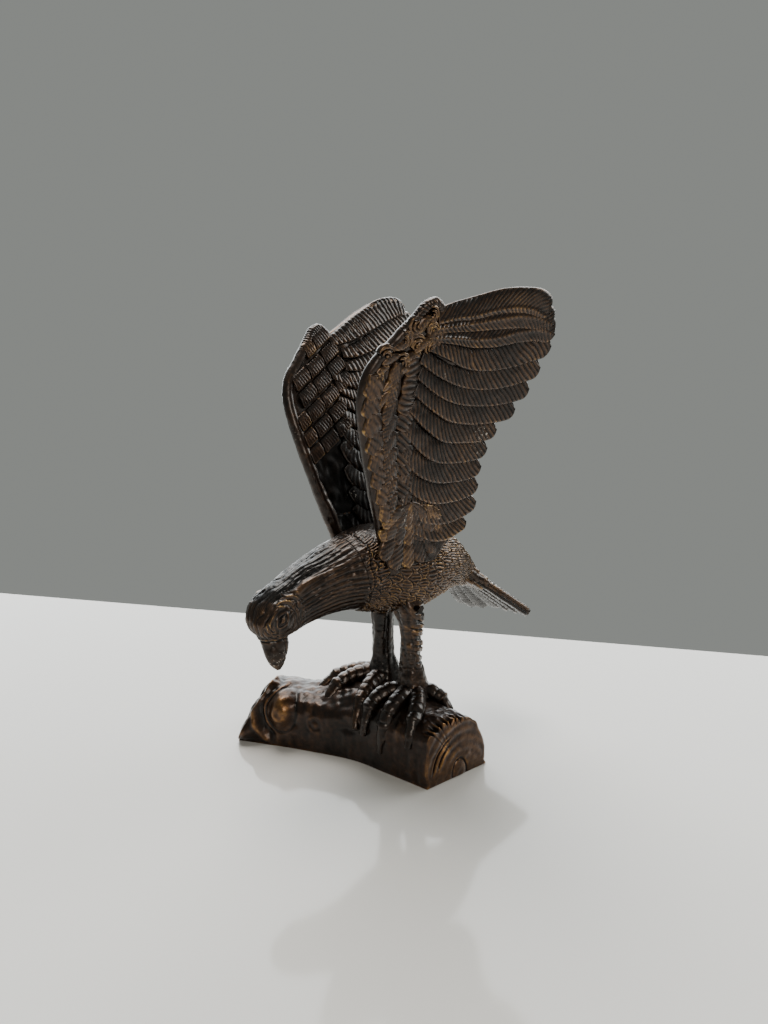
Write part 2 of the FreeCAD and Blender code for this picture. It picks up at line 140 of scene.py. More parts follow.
def tube(rings, rub_and_shade):
    """Closed skin over rings of points: four-sided faces between neighbours, and a fan of triangles at
    each end."""
    n, m = rings.shape[:2]
    verts = np.concatenate([rings.reshape(-1, 3), rings[:1].mean(axis=1), rings[-1:].mean(axis=1)])
    i = np.arange(n - 1)[:, None] * m
    j = np.arange(m)[None, :]
    k = (j + 1) % m
    quads = np.stack([i + j, i + m + j, i + m + k, i + k], axis=2).reshape(-1, 4)
    a, b = np.arange(m), (np.arange(m) + 1) % m
    last = (n - 1) * m
    first_fan = np.stack([np.full(m, n * m), a, b], 1)
    last_fan = np.stack([np.full(m, n * m + 1), last + b, last + a], 1)
    fans = np.concatenate([first_fan, last_fan])
    if facing_out(rings) < 0:
        quads, fans = quads[:, ::-1], fans[:, ::-1]
    wear_and_shade = np.clip(rub_and_shade, 0, 1)
    wear_and_shade = np.concatenate([wear_and_shade.ravel(), [wear_and_shade[0].mean()], [wear_and_shade[-1].mean()]])
    return verts, quads, fans, wear_and_shade


def casting(name, shells, material, slot, *nodes):
    """One mesh out of closed skins given in mm, with how rubbed each point is, and painted shade on some
    parts, kept in the attribute "rubbed"."""
    shift = np.cumsum([0] + [len(s[0]) for s in shells])[:-1]
    verts = np.concatenate([s[0] for s in shells]) * 0.001
    quads = np.concatenate([s[1] + k for s, k in zip(shells, shift)])
    fans = np.concatenate([s[2] + k for s, k in zip(shells, shift)])
    wear_and_shade = np.concatenate([s[3] for s in shells])
    corners = np.concatenate([quads.ravel(), fans.ravel()])
    starts = np.concatenate([np.arange(len(quads)) * 4, quads.size + np.arange(len(fans)) * 3])
    mesh = bpy.data.meshes.new(name)
    mesh.vertices.add(len(verts))
    mesh.vertices.foreach_set("co", verts.ravel())
    mesh.loops.add(len(corners))
    mesh.loops.foreach_set("vertex_index", corners.astype(np.int32))
    mesh.polygons.add(len(starts))
    mesh.polygons.foreach_set("loop_start", starts.astype(np.int32))
    mesh.polygons.foreach_set("use_smooth", np.ones(len(starts), bool))
    mesh.update(calc_edges=True)
    mesh.validate()
    mesh.attributes.new("rubbed", "FLOAT", "POINT").data.foreach_set("value", wear_and_shade.astype(np.float32))
    mesh.materials.append(material)
    piece = bpy.data.objects.new(name, mesh)
    bpy.context.scene.collection.objects.link(piece)
    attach(piece, "root")
    if nodes:
        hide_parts(*nodes)


def linear(hex_colour):
    """sRGB hex to the linear colour that shaders use."""
    c = np.array([int(hex_colour[i:i + 2], 16) / 255 for i in (1, 3, 5)])
    c = np.where(c <= 0.04045, c / 12.92, ((c + 0.055) / 1.055) ** 2.4)
    return (*c, 1.0)


def add(material, kind, settings=None, stops=(), **links):
    """Adds a shader node, sets its values and joins earlier nodes to it. In `settings` a key with a small
    first letter is a setting of the node, and any other is an input. `stops` are a colour ramp's places
    and sRGB hex colours. A link's key is the input's name with _ for each space, or _0 for the first input
    and so on. It starts at the socket given, or at the first output of the node given."""
    node = material.node_tree.nodes.new(kind)
    for key, value in (settings or {}).items():
        if isinstance(key, str) and not key[0].isupper():
            setattr(node, key, value)
        else:
            node.inputs[key].default_value = value
    if stops:
        band = node.color_ramp.elements
        while len(band) < len(stops):
            band.new(0.5)
        for element, (place, colour) in zip(band, stops):
            element.position = place
            element.color = linear(colour)
    for key, source in links.items():
        name = key.replace("_", " ")
        start = source.outputs[0] if isinstance(source, bpy.types.Node) else source
        material.node_tree.links.new(start, node.inputs[name if name in node.inputs else int(key[1:])])
    return node


def patinated_bronze(name, stops, rough, gloss, clean):
    """Tin bronze, sand-cast and chased, darkened with a sulphide patina, rubbed back on the high places
    and lacquered: near black in the cuts, umber on the flats, olive gold on the ridges, chalky polish left
    in some cuts. `rough` is its roughness where dark and where rubbed, `gloss` the weight of the lacquer,
    and `clean` rises with how much of it is free of polish."""
    m = bpy.data.materials.new(name)
    m.use_nodes = True
    m.node_tree.nodes.clear()
    place = add(m, "ShaderNodeTexCoord").outputs["Object"]
    # The "rubbed" attribute holds the wear of polishing together with painted shade on some parts.
    rubbed = add(m, "ShaderNodeAttribute", {"attribute_name": "rubbed"}).outputs["Fac"]
    # Uneven hand rubbing: clouds 11 mm across (90 to the metre), and finer breaks 1.4 mm across.
    cloud = add(m, "ShaderNodeTexNoise", {"Scale": 90.0, "Detail": 4.0, "Roughness": 0.55}, Vector=place)
    breaks = add(m, "ShaderNodeTexNoise", {"Scale": 720.0, "Detail": 5.0, "Roughness": 0.62}, Vector=place)
    soft = add(m, "ShaderNodeMath", {"operation": "MULTIPLY_ADD", 1: 0.56, 2: -0.28}, _0=cloud)
    sharp = add(m, "ShaderNodeMath", {"operation": "MULTIPLY_ADD", 1: 0.44, 2: -0.22}, _0=breaks)
    both = add(m, "ShaderNodeMath", {"operation": "ADD"}, _0=soft, _1=sharp)
    reach = add(m, "ShaderNodeMath", {"operation": "ADD", "use_clamp": True}, _0=rubbed, _1=both)
    bronze = add(m, "ShaderNodeValToRGB", stops=stops, Fac=reach)
    limits = {"From Min": 0.15, "From Max": 0.85, "To Min": rough[0], "To Max": rough[1]}
    dull = add(m, "ShaderNodeMapRange", limits, Value=reach)
    uneven = add(m, "ShaderNodeMath", {"operation": "MULTIPLY_ADD", 1: 0.26}, _0=breaks, _2=dull)
    lowered = add(m, "ShaderNodeMath", {"operation": "SUBTRACT", 1: 0.13, "use_clamp": True}, _0=uneven)
    # Dried metal polish: chalky specks 1 mm across, in patches 16 mm across.
    patch = add(m, "ShaderNodeTexNoise", {"Scale": 62.0, "Detail": 2.0}, Vector=place)
    speck = add(m, "ShaderNodeTexNoise", {"Scale": 980.0, "Detail": 3.0, "Roughness": 0.7}, Vector=place)
    where = add(m, "ShaderNodeMapRange", {"From Min": clean, "From Max": clean + 0.07}, Value=patch)
    which = add(m, "ShaderNodeMapRange", {"From Min": 0.60, "From Max": 0.66}, Value=speck)
    chalk = add(m, "ShaderNodeMath", {"operation": "MULTIPLY", "use_clamp": True}, _0=where, _1=which)
    colour = add(m, "ShaderNodeMix", {"data_type": "RGBA", 7: linear("#a8a096")}, _0=chalk, _6=bronze)
    bare = add(m, "ShaderNodeMapRange", {"To Min": 0.94, "To Max": 0.0}, Value=chalk)
    # Sand-cast grain under the lacquer, about 0.5 mm, coarser than the real grit so that it shows.
    grain = add(m, "ShaderNodeTexNoise", {"Scale": 1900.0, "Detail": 3.0, "Roughness": 0.6}, Vector=place)
    skin = add(m, "ShaderNodeBump", {"Strength": 0.4, "Distance": 0.00012}, Height=grain)
    metal = add(m, "ShaderNodeBsdfPrincipled", {"Coat Weight": gloss, "Coat Roughness": 0.2},
                Base_Color=colour.outputs[2], Metallic=bare, Roughness=lowered, Normal=skin)
    add(m, "ShaderNodeOutputMaterial", Surface=metal)
    return m


log_bronze = patinated_bronze(
    "sand_cast_bronze_brown_patina",
    [(0.0, "#0a0705"), (0.25, "#1b130d"), (0.45, "#332217"),
     (0.65, "#553b24"), (0.85, "#7f5a31"), (1.0, "#a67c45")],
    (0.50, 0.30), 0.45, 0.74)

log_length = 80.0
log_right = 32.3  # X of the sawn end
log_height = 22.5
log_wall = 4.0
pad_under = 13.0  # height of the underside of the two bolting pads
left_lean = 12.0  # how far the broken end leans back over the full height
# Along the log: share of its length, Y, heading in degrees, half width, and height as a share of log_height.
log_stations = [(0.00, 1.2, 0.0, 13.6, 1.00), (0.24, -1.0, 9.0, 16.0, 1.00), (0.47, -4.0, 20.0, 18.0, 1.02),
                (0.72, -17.5, 32.0, 16.0, 0.92), (1.00, -36.3, 35.0, 13.0, 0.98)]
# Across the log, from its near foot over the crown: shares of the half width and of the height.
log_profile = [(-1.0, 0.0), (-1.0, 0.45), (-0.9, 0.8), (-0.5, 0.97), (0.0, 1.0),
               (0.45, 0.9), (0.8, 0.6), (0.97, 0.27), (1.0, 0.0)]
feet = [(9.5, 0.0), (-9.0, 1.0)]  # X and Y of the left and the right ankle


def log_rings(rows, crown, foot):
    """Rings of the trunk: the D-shaped profile over the bark and back under the foot, carried along the
    bent line. Towards the left end each ring leans in with height. The foot follows the ceiling of the
    hollow, which is an elliptic vault, lower at the two pads and closed by the web in the middle."""
    stations = np.array(log_stations)
    line = smooth_line(np.column_stack([stations[:, 0] * log_length, stations]), rows, 1)[:, 1:]
    share, line_y, heading, half, tall = line.T
    typical = (15, 22.5)  # half width and height that space the points evenly
    top = smooth_line(np.array(log_profile) * typical, crown, 2) / typical
    flat = np.column_stack([np.linspace(1, -1, foot + 2)[1:-1], np.zeros(foot)])
    profile = np.concatenate([top, flat])
    turn = np.radians(heading)[:, None]
    z = profile[None, :, 1] * (log_height * tall)[:, None]
    lean = left_lean * (z / log_height) * ease(share, 0.45, 1.0)[:, None]
    along = share[:, None] * log_length - lean * np.cos(turn)
    reach = profile[None, :, 0] * half[:, None]
    x = log_right - along - np.sin(turn) * reach
    y = line_y[:, None] + np.cos(turn) * reach + lean * np.sin(turn)
    rings = np.stack([x, y, z], axis=2)
    under = rings[:, crown:]
    across = profile[crown:, 0]
    edge = half[:, None] - np.abs(across) * half[:, None]
    inset = np.minimum(edge - log_wall, np.minimum(share, 1 - share)[:, None] * log_length - log_wall)
    web = ease(np.abs(under[..., 0]), 3.2, 3.9)
    vault = (log_height - log_wall - 1.0) * np.sqrt(np.clip(1 - (across[None, :] * 1.12) ** 2, 0, 1))
    vault = vault * ease(inset, 0.0, 0.7) * web
    clear = 99  # no limit away from the pads
    for foot_x, foot_y in feet:
        pad = wane(np.hypot(under[..., 0] - foot_x, under[..., 1] - foot_y), 6.2, 6.8)
        vault = np.minimum(vault, clear - pad * (clear - pad_under)) * web
    under[..., 2] = vault
    return rings, share


def log_bark(rings, share, crown):
    """Height of the bark in mm, as a sum: soft swellings, streaks that run down the sides, a burl with a
    curved cut and a lip round its outer side, a knob, the rings of a lost twig, a mound under each foot
    and a swelling at the back, less a row of saw nicks on the near top edge of the sawn end. It fades out
    at the ground."""
    x, y, z = np.moveaxis(rings, 2, 0)
    h = 0.75 * lumps(rings, 12.0, 1) + 0.42 * lumps(rings, 5.5, 2) + 0.14 * lumps(rings, 2.0, 3)
    h += 0.34 * lumps(rings * (1.0, 1.0, 0.26), 2.0, 5) + 0.22 * lumps(rings * (0.3, 0.5, 1.0), 2.4, 6)
    near = wane(y, -30.0, -22.0)
    u, w = -0.91 * (x + 25.0) - 0.42 * (y + 36.3), z - 13.8
    burl = np.hypot(u / 5.0, w / 6.4)
    outer = ease(u + 0.35 * w, -2.5, 2.5) * near
    h += near * (2.7 * wane(burl, 0.35, 1.12) - 1.0 * hump(burl, 1.24, 0.10) * (0.35 + 0.65 * outer))
    h += near * outer * (0.75 * hump(burl, 2.25, 0.22) - 1.7 * hump(burl, 1.62, 0.34))
    h += 1.3 * hump(distance(rings, (-15.0, -30.4, 21.5)), 0, 2.4)
    twig = distance(rings, (-12.6, -28.8, 10.8))
    h += 0.2 * np.cos(2 * np.pi * twig / 3.4 + 1.5 * lumps(rings, 3.0, 41)) * wane(twig, 2.2, 5.2)
    grip = np.minimum(np.hypot(x - 7.0, y + 5.0), np.hypot(x + 13.0, y + 5.0))
    h += (0.55 * lumps(rings, 2.6, 40) + 1.5) * wane(grip, 10.0, 18.0) * ease(z, 9.0, 18.0)
    h += 4.0 * hump(distance(rings, (-21.0, 2.0, 17.5)), 0, 7.0)
    around = np.linspace(0, 1, crown)
    teeth = 25
    tooth = np.abs((around * teeth + 0.15 * np.sin(around * 97)) % 1 - 0.5) * 2
    nick = np.zeros(rings.shape[:2])
    nick[:, :crown] = (tooth ** 1.2 * ease(around, 0.29, 0.33) * wane(around, 0.54, 0.62))[None, :]
    h -= 1.9 * nick * wane(share[:, None] * log_length + 0.8 * lumps(rings, 3.0, 9), 1.6, 4.4)
    h += 3.4 * hump(z, 4.5, 4.5) * ease(share, 0.92, 1.0)[:, None]
    h[:, crown:] = 0
    return h * ease(z, 0.0, 2.2)


def end_face(ring, heart, out, relief):
    """Rings that shrink from the log's rim to its heart, each point moved along `out` by relief(points,
    depth in from the rim as 0 to 1)."""
    s = np.linspace(1, 0.02, 60)[1:, None, None]
    face = heart + (ring[None] - heart) * s
    return face + np.array(out) * relief(face, 1 - s[..., 0])[..., None]


def sawn(p, depth):
    """The sawn end: nearly flat, with two deep curved cuts near its left side, faint growth arcs 2.9 mm
    apart and a small arch low in the middle."""
    y, z = p[..., 1], p[..., 2]
    r = np.hypot(y - 4.0, (z - 0.5) * 0.88)
    h = 0.22 * lumps(p, 5.0, 11) + 0.10 * lumps(p, 1.5, 12)
    h += 0.11 * np.cos(2 * np.pi * r / 2.9) * ease(z, 3.0, 8.0)
    long_cut = 1.2 * hump(r, 14.4, 0.45) * ease(z, 3.5, 6.0)
    short_cut = 1.0 * hump(r, 12.3, 0.38) * ease(z, 4.5, 7.0)
    h -= wane(y, -5.0, -1.0) * (long_cut + short_cut)
    arch = np.hypot(y - 2.0, (z - 1.2) * 0.62)
    h += 0.35 * wane(arch, 1.2, 3.0) - 0.55 * hump(arch, 3.3, 0.32)
    return h * ease(depth, 0.0, 0.09) + 0.35 * ease(depth, 0.0, 0.05)


def broken(p, depth):
    """The broken end: split fibres that run down it, and a swelling at mid height."""
    h = 0.7 * lumps(p * (1.0, 1.0, 0.25), 2.3, 21) + 0.5 * lumps(p, 4.5, 22)
    return (h + 1.0) * ease(depth, 0.0, 0.25)


crown_points, foot_points = 224, 60
rings, share = log_rings(220, crown_points, foot_points)
rings = raised(rings, log_bark(rings, share, crown_points))
rings[..., 2] = np.maximum(rings[..., 2], 0)
right_face = end_face(rings[0], np.array([log_right, 0.0, 7.5]), (1, 0, 0), sawn)
left_turn = math.radians(35)
left_out = np.array([-math.cos(left_turn), -math.sin(left_turn), 0.45])
left_face = end_face(rings[-1], rings[-1].mean(axis=0), left_out, broken)
rings = np.concatenate([right_face[::-1], rings, left_face])
rings[..., 2] = np.maximum(rings[..., 2], 0)
# Hands polish the burl and the sawn end bright. The bark round the feet, under the bird's body, is darkened
# as painted shade.
burl = wane(np.linalg.norm((rings - (-24.5, -36.5, 14.5)) * (1, 1, 0.8), axis=2), 2.5, 6.5)
end = ease(rings[..., 0], log_right - 0.2, log_right + 0.3)
shaded = wane(np.hypot(rings[..., 0] + 1.0, rings[..., 1] + 6.0), 16.0, 26.0)
hand_wear_and_shade = 0.22 * burl + 0.13 * end - 0.10 * shaded
casting("log", [tube(rings, rubbing(rings, 1.1) + hand_wear_and_shade)], log_bronze, "log_bronze", "log_base")

# ---------------------------------------------------------------------------
# Foot studs, washers and nuts: zinc-plated steel, turned and cold-formed, that
# hold the feet through the crown of the log. They show only from below. The
# driven bronze pins and the core plug are filed flush under the chased skin.
# ---------------------------------------------------------------------------


def zinc_plated_steel():
    """Bright zinc over cold-formed steel: a pale metal with a faint yellow and blue cloud and fine turning
    lines."""
    m = bpy.data.materials.new("zinc_plated_steel")
    m.use_nodes = True
    m.node_tree.nodes.clear()
    place = add(m, "ShaderNodeTexCoord").outputs["Object"]
    # Clouds 4 mm across.
    cloud = add(m, "ShaderNodeTexNoise", {"Scale": 260.0, "Detail": 3.0}, Vector=place)
    tints = [(0.3, "#9aa0a6"), (0.5, "#b4b3ab"), (0.7, "#a9adb4")]
    colour = add(m, "ShaderNodeValToRGB", stops=tints, Fac=cloud)
    # Turning lines 0.3 mm apart along the axis.
    turning = {"bands_direction": "Z", "Scale": 1000.0, "Distortion": 0.6}
    lines = add(m, "ShaderNodeTexWave", turning, Vector=place).outputs["Fac"]
    skin = add(m, "ShaderNodeBump", {"Strength": 0.25, "Distance": 0.00005}, Height=lines)
    dull = add(m, "ShaderNodeMapRange", {"To Min": 0.28, "To Max": 0.45}, Value=cloud)
    metal = add(m, "ShaderNodeBsdfPrincipled", {"Metallic": 1.0},
                Base_Color=colour, Roughness=dull, Normal=skin)
    add(m, "ShaderNodeOutputMaterial", Surface=metal)
    return m


pin_bronze = patinated_bronze(
    "drawn_bronze_rod_filed_flush", [(0.0, "#150f0b"), (0.4, "#3a281b"), (0.7, "#6a4a2c"), (1.0, "#a87c48")],
    (0.45, 0.3), 0.3, 0.8)
for names, finish in ((("foot_studs", "foot_washers", "foot_nuts"), zinc_plated_steel()),
                      (("left_wing_pin", "right_wing_pin", "tail_pin", "leg_pins", "core_plug"), pin_bronze)):
    for node in names:
        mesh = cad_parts[node].data
        mesh.materials.clear()
        mesh.materials.append(finish)

# ---------------------------------------------------------------------------
# Legs: two castings in the same bronze, each a shank ringed with scutes that
# swells into the thigh, an ankle, and four ringed toes whose smooth claws
# grip the bark.
# ---------------------------------------------------------------------------

bird_bronze = patinated_bronze(
    "sand_cast_bronze_dark_patina",
    [(0.0, "#060504"), (0.25, "#150f0b"), (0.45, "#2b1e15"),
     (0.65, "#483321"), (0.85, "#6e5230"), (1.0, "#9a7a45")],
    (0.50, 0.28), 0.6, 0.635)

# Toes, each from the ankle to the claw: X and Y from the ankle, height over the log's crown, and radius.
left_toes = [
    [(0, -1, 2.6, 3.1), (-3.4, -8, 3, 2.8), (-4.3, -13.5, 1.6, 2.6), (-3.6, -17.3, -2.2, 2.4),
     (-3, -20.3, -9, 0.5)],
    [(1, -1, 2.6, 3.1), (3.4, -8, 2.8, 2.8), (4.4, -13.2, 0.6, 2.6), (4.4, -16.2, -5, 2.2),
     (3.2, -17.4, -14, 0.5)],
    [(2, -0.5, 2.4, 3), (7.4, -3.4, 2.6, 2.7), (12, -8.2, 0.8, 2.5), (14.6, -12, -2.6, 2.2),
     (15.8, -14.8, -8, 0.5)],
    [(1, 1.5, 2, 2.9), (6, 4.6, 2, 2.5), (10, 6.6, 0.2, 2.1), (13, 7.5, -2.8, 0.5)],
]
right_toes = [
    [(0, -1, 2.6, 3.1), (4.6, -9.4, 2.8, 2.8), (7.4, -15, 0.8, 2.5), (9.6, -18.8, -2.6, 2.2),
     (11.8, -22.2, -8, 0.5)],
    [(-1.5, -1.5, 2.6, 3.1), (-5.4, -8.6, 3, 2.8), (-6.6, -14.5, 2, 2.6), (-6.2, -19.5, -0.4, 2.3),
     (-4.4, -24, -5, 0.5)],
    [(-2, -1, 2.6, 3.1), (-8, -5.6, 3, 2.8), (-12.2, -11.5, 2, 2.6), (-13.8, -17, -0.2, 2.3),
     (-14.3, -21.8, -3.4, 0.5)],
    [(-1, 1.5, 2, 2.9), (-2.4, 6.2, 1.8, 2.5), (-3.6, 10, -0.6, 2.1), (-4.5, 12.5, -4, 0.5)],
]


def hoops(line, around):
    """Rings of a round tube about a line of (x, y, z, radius): each ring lies across the line, with its
    first point level and its quarter point upwards."""
    centre, radius = line[:, :3], line[:, 3]
    heading = np.gradient(centre, axis=0)
    heading /= np.linalg.norm(heading, axis=1, keepdims=True)
    side = np.cross(heading, (0.03, 0.05, 1.0))
    side /= np.maximum(np.linalg.norm(side, axis=1, keepdims=True), 1e-6)
    up = np.cross(side, heading)
    a = np.linspace(0, 2 * np.pi, around, endpoint=False)
    spoke = side[:, None] * np.cos(a)[None, :, None] + up[:, None] * np.sin(a)[None, :, None]
    return centre[:, None] + spoke * radius[:, None, None], a


def toe(foot, path, seed):
    """A toe as hoops along its line. Flattened bands of skin 3.1 mm long have narrow creases between them
    as far as the last knuckle, and past it the claw is thick and fluted."""
    points = np.array(path) + (foot[0], foot[1], log_height - 0.4, 0.35)
    points[:, 2] -= 1.1 * ease(np.hypot(points[:, 0] - foot[0], points[:, 1] - foot[1]), 7.0, 13.0)
    points[-1, 3] = 1.3
    length = np.linalg.norm(np.diff(points[:, :3], axis=0), axis=1).sum()
    line = smooth_line(points, int(length / 0.22))
    rings, a = hoops(line, 48)
    s = np.linspace(0, 1, len(line))[:, None]
    claw = ease(s, 0.62, 0.72)
    top = (0.45 + 0.55 * np.sin(a))[None, :]
    wave = np.abs(np.sin(np.pi * (s * length / 3.1 + 0.12 * lumps(rings, 3.0, seed + 5)) + 0.4 * seed))
    h = (0.62 * wave ** 0.24 - 0.34) * np.clip(top, 0.25, 1) * (1 - claw)
    h += 0.45 * hump(s, 0.64, 0.04) * top
    h -= 0.32 * claw * np.abs(np.sin(1.5 * a + 0.6 * seed))[None, :] ** 0.7 * (line[:, 3:4] / 2.2)
    h += 0.16 * lumps(rings, 2.0, seed) + 0.07 * lumps(rings, 0.8, seed + 2)
    rings = raised(rings, h)
    # The toes are darkened as painted shade that dims their highlights, the left (near) foot's more.
    return tube(rings, rubbing(rings, 1.2) - (0.10 if foot[0] > 0 else 0.03))


# Down a leg: height, radius, and how far it stands outwards and to the rear.
leg_line = [
    (60.5, 5.4, -2.6), (57.5, 5.9, -1.4), (54.5, 5.5, -0.2), (52, 5, 0.3), (48, 4.4, 0.3), (42, 4.15, 0.1),
    (36, 4.1, 0), (31, 4.9, 0), (27, 6.1, 0), (23.5, 7.3, 0), (19, 7.4, 0),
]


def shank(foot, seed, bars):
    """The upright part of a leg, as hoops whose radius runs from the thigh down to the flared ankle. Above
    it uneven dark bars 3 mm apart are cut across the rear outer side by `bars` mm, and elsewhere it is
    faintly faceted."""
    side = 1 if foot[0] > 0 else -1
    line = smooth_line([(foot[0] + side * out, foot[1] + max(out, 0), z, r) for z, r, out in leg_line], 210)
    rings, a = hoops(line, 120)
    x, y, z = np.moveaxis(rings - (foot[0], foot[1], 0), 2, 0)
    angle = np.arctan2(y, x * side)
    bend = z + 1.1 * np.sin(angle - 0.5) + 0.5 * lumps(rings, 3.5, seed)
    step = np.abs((bend / 3.0 + 0.16 * np.sin(z * 0.9)) % 1 - 0.5) * 2
    turned = np.abs((angle - math.radians(48) + np.pi) % (2 * np.pi) - np.pi)
    here = wane(turned + 0.35 * lumps(rings, 2.6, seed + 6), 0.75, 1.35) * ease(z, 33.0, 37.0)
    h = -bars * here * ease(step, 0.52, 0.80) + 0.12 * bars * (1 - here) * (ease(step, 0.5, 0.8) - 0.5)
    facet = np.abs(np.sin(4 * angle + 0.12 * z + seed))
    h += 0.22 * facet + 0.30 * lumps(rings, 3.2, seed + 3) + 0.12 * lumps(rings, 1.2, seed + 4)
    thigh = ease(z, 49.0, 53.0)
    h -= thigh * 0.35 * (1 - np.abs(np.sin(3.4 * angle + 0.5 * z)) ** 0.4)
    rings = raised(rings, h - 0.25)
    dark = 0.45 * bars * here * ease(step, 0.5, 0.8)
    # The right (far) leg is darkened all over as painted shade; the dark bars are patina in the cuts.
    return tube(rings, rubbing(rings, 1.2) - dark - (0.0 if side > 0 else 0.16))


for side, foot, toes, bars in (("left", feet[0], left_toes, 0.6), ("right", feet[1], right_toes, 0.25)):
    shells = [shank(foot, 3.0 + foot[0], bars)]
    shells += [toe(foot, path, 1.0 + k + foot[0]) for k, path in enumerate(toes)]
    casting(side + "_leg_skin", shells, bird_bronze, "bird_bronze", side + "_leg")

# ---------------------------------------------------------------------------
# Body: one hollow casting from the tail's root to the beak. Rounded feathers
# with short strokes cover the breast and flanks, long hackles run down the
# neck, and the hooked beak is left smooth below its cere.
# ---------------------------------------------------------------------------

# From the rump to the tip of the beak: X, Y, Z, pitch in degrees, half width and half height.
body_stations = [
    (0, 34.5, 58.6, -39.5, 6, 2.4), (0, 33, 60, -39.5, 8, 4.4), (0, 30.5, 62, -39.5, 8.9, 6),
    (0, 26, 64.5, -31, 10.9, 8.8), (0, 20, 66.6, -22, 13.3, 11.8), (0, 12, 68.2, -10, 15.6, 14.8),
    (0, 2, 69, 0, 16.5, 16.4), (0, -12, 70.4, 4, 15.2, 15.1), (0, -23, 69.9, 12, 12.7, 12.6),
    (0, -34.5, 68.05, 18, 10.1, 10.5), (0.5, -41.5, 65.85, 27, 9, 9.6), (1, -47.5, 63.6, 38, 8.7, 9.4),
    (1.8, -50.8, 61.6, 52, 8.5, 8.8), (2.4, -52.2, 59.6, 66, 7.3, 7.5), (2.9, -52.2, 57.6, 75, 5.7, 6),
    (3.3, -51.6, 56.3, 79, 4.6, 5), (4, -51.3, 54.4, 82, 4, 4.6), (5.2, -51.6, 51.8, 86, 3.3, 3.9),
    (6.3, -52, 49.4, 90, 2.4, 2.9), (7.1, -52.3, 47.6, 92, 1.5, 1.8), (7.5, -52.4, 46.7, 92, 0.8, 0.9),
]


def body_rings(rows, around):
    """Oval rings along the bird's spine: each stands across it at its own pitch, with its first point on
    the left."""
    line = smooth_line(body_stations, rows)
    x, y, z, pitch, half, tall = line.T
    turn = np.radians(pitch)
    up = np.stack([0 * turn, -np.sin(turn), np.cos(turn)], axis=1)
    a = np.linspace(0, 2 * np.pi, around, endpoint=False)
    rings = np.stack([x, y, z], 1)[:, None] + up[:, None] * (tall[:, None] * np.sin(a))[..., None]
    rings[..., 0] += half[:, None] * np.cos(a)
    return rings, a


def overlapped(run, across):
    """Height, 0 to 1, of rounded feathers that overlap like roof tiles, in cells one unit long and wide:
    of the feathers whose rounded end covers a point, the one set nearest the head lies on top. Each rises
    towards its free end. Also gives the place across the feather, -0.5 to 0.5."""
    height = np.zeros(run.shape)
    strand = np.zeros(run.shape)
    for back in (0, 1, 2):
        row = np.floor(run) - back
        b = (across + (row % 2) * 0.5) % 1 - 0.5
        end = 1.62 - 0.75 * (2 * b) ** 2 * 0.9
        covers = run - row < end
        height = np.where(covers, (run - row) / end, height)
        strand = np.where(covers, b, strand)
    return height, strand


def cut(wave, narrow=0.4):
    """0 on the land and 1 at the bottom of a narrow V cut, once for each half turn of `wave`."""
    return 1 - np.abs(np.sin(np.pi * wave)) ** narrow


rings, a = body_rings(560, 300)
x, y, z = np.moveaxis(rings, 2, 0)
spine_length = 128.0
run = np.linspace(0, spine_length, len(rings))[:, None] * np.ones(len(a))
turn = a[None, :] / (2 * np.pi)
off = np.abs(x - x.mean(axis=1, keepdims=True))
# Trunk: tiles of feathers 4.7 mm long, each outlined by a cut and scored with a few short strokes.
tile, strand = overlapped(40 - run / 4.7 + 0.24 * lumps(rings, 5.5, 3),
                          turn * 21 + 0.30 * lumps(rings, 6.0, 8) + 50)
scored = cut((strand + 0.5) * 4 + 0.30 * lumps(rings, 2.2, 30), 0.75)
scored = scored * ease(tile, 0.20, 0.36) * wane(tile, 0.78, 0.88)
tiles = 0.55 * ease(tile, 0.0, 0.85) - 0.90 * ease(tile, 0.86, 0.96)
tiles = tiles - 0.95 * scored * (0.8 + 0.6 * lumps(rings, 5.0, 31))
# Neck: long uneven locks, with cuts that come and go, fewer on the head.
flow = rings * (1.0, 0.26, 0.55)
on_head = ease(-y, 41.0, 46.0)
hackles = cut(turn * 37 + 0.95 * lumps(flow, 5.0, 4), 0.5) * (1 - on_head)
hackles = hackles + cut(turn * 19 + 0.7 * lumps(rings, 3.5, 34), 0.6) * on_head
locks = 0.50 * lumps(flow, 3.3, 7) - (0.40 + 0.28 * lumps(flow, 4.4, 6)) * hackles
locks -= 0.16 * cut(turn * 96 + 1.1 * lumps(flow, 3.0, 5), 0.6)
neck_start = 19.5
edge = neck_start + 1.4 * lumps(rings, 5.0, 9)
to_neck = ease(-y, edge - 1.2, edge + 1.2)
relief = tiles * (1 - to_neck) + locks * to_neck - 0.5 * hump(-y - edge, -1.2, 0.4)
# The back between the wings is nearly plain, and the beak quite plain.
crest = ease(z - 69, 9.0, 13.0) * wane(np.abs(x), 7.0, 11.0) * ease(y, -26.0, -14.0)
relief *= 1 - 0.7 * crest
beak = ease(57.4 - z, 0.0, 1.2) * ease(-y, 44.0, 46.0)
relief *= 1 - beak
# A smooth ridge with a deep cut over it runs from behind the eye up to the nape.
ridge_z = np.interp(-y, (28.0, 35.0, 41.0, 44.0, 48.0, 51.6), (76.8, 74.2, 72.4, 70.6, 68.9, 67.2))
beside = ease(off, 4.5, 6.5)
ridge = hump(z, ridge_z, 1.35) * ease(-y, 34.0, 40.0) * wane(-y, 50.0, 53.0) * beside
relief = relief * (1 - 0.85 * ridge) + 0.85 * ridge
relief -= 0.8 * hump(z - ridge_z, 2.1, 0.7) * ease(-y, 30.0, 36.0) * wane(-y, 50.0, 54.0) * beside
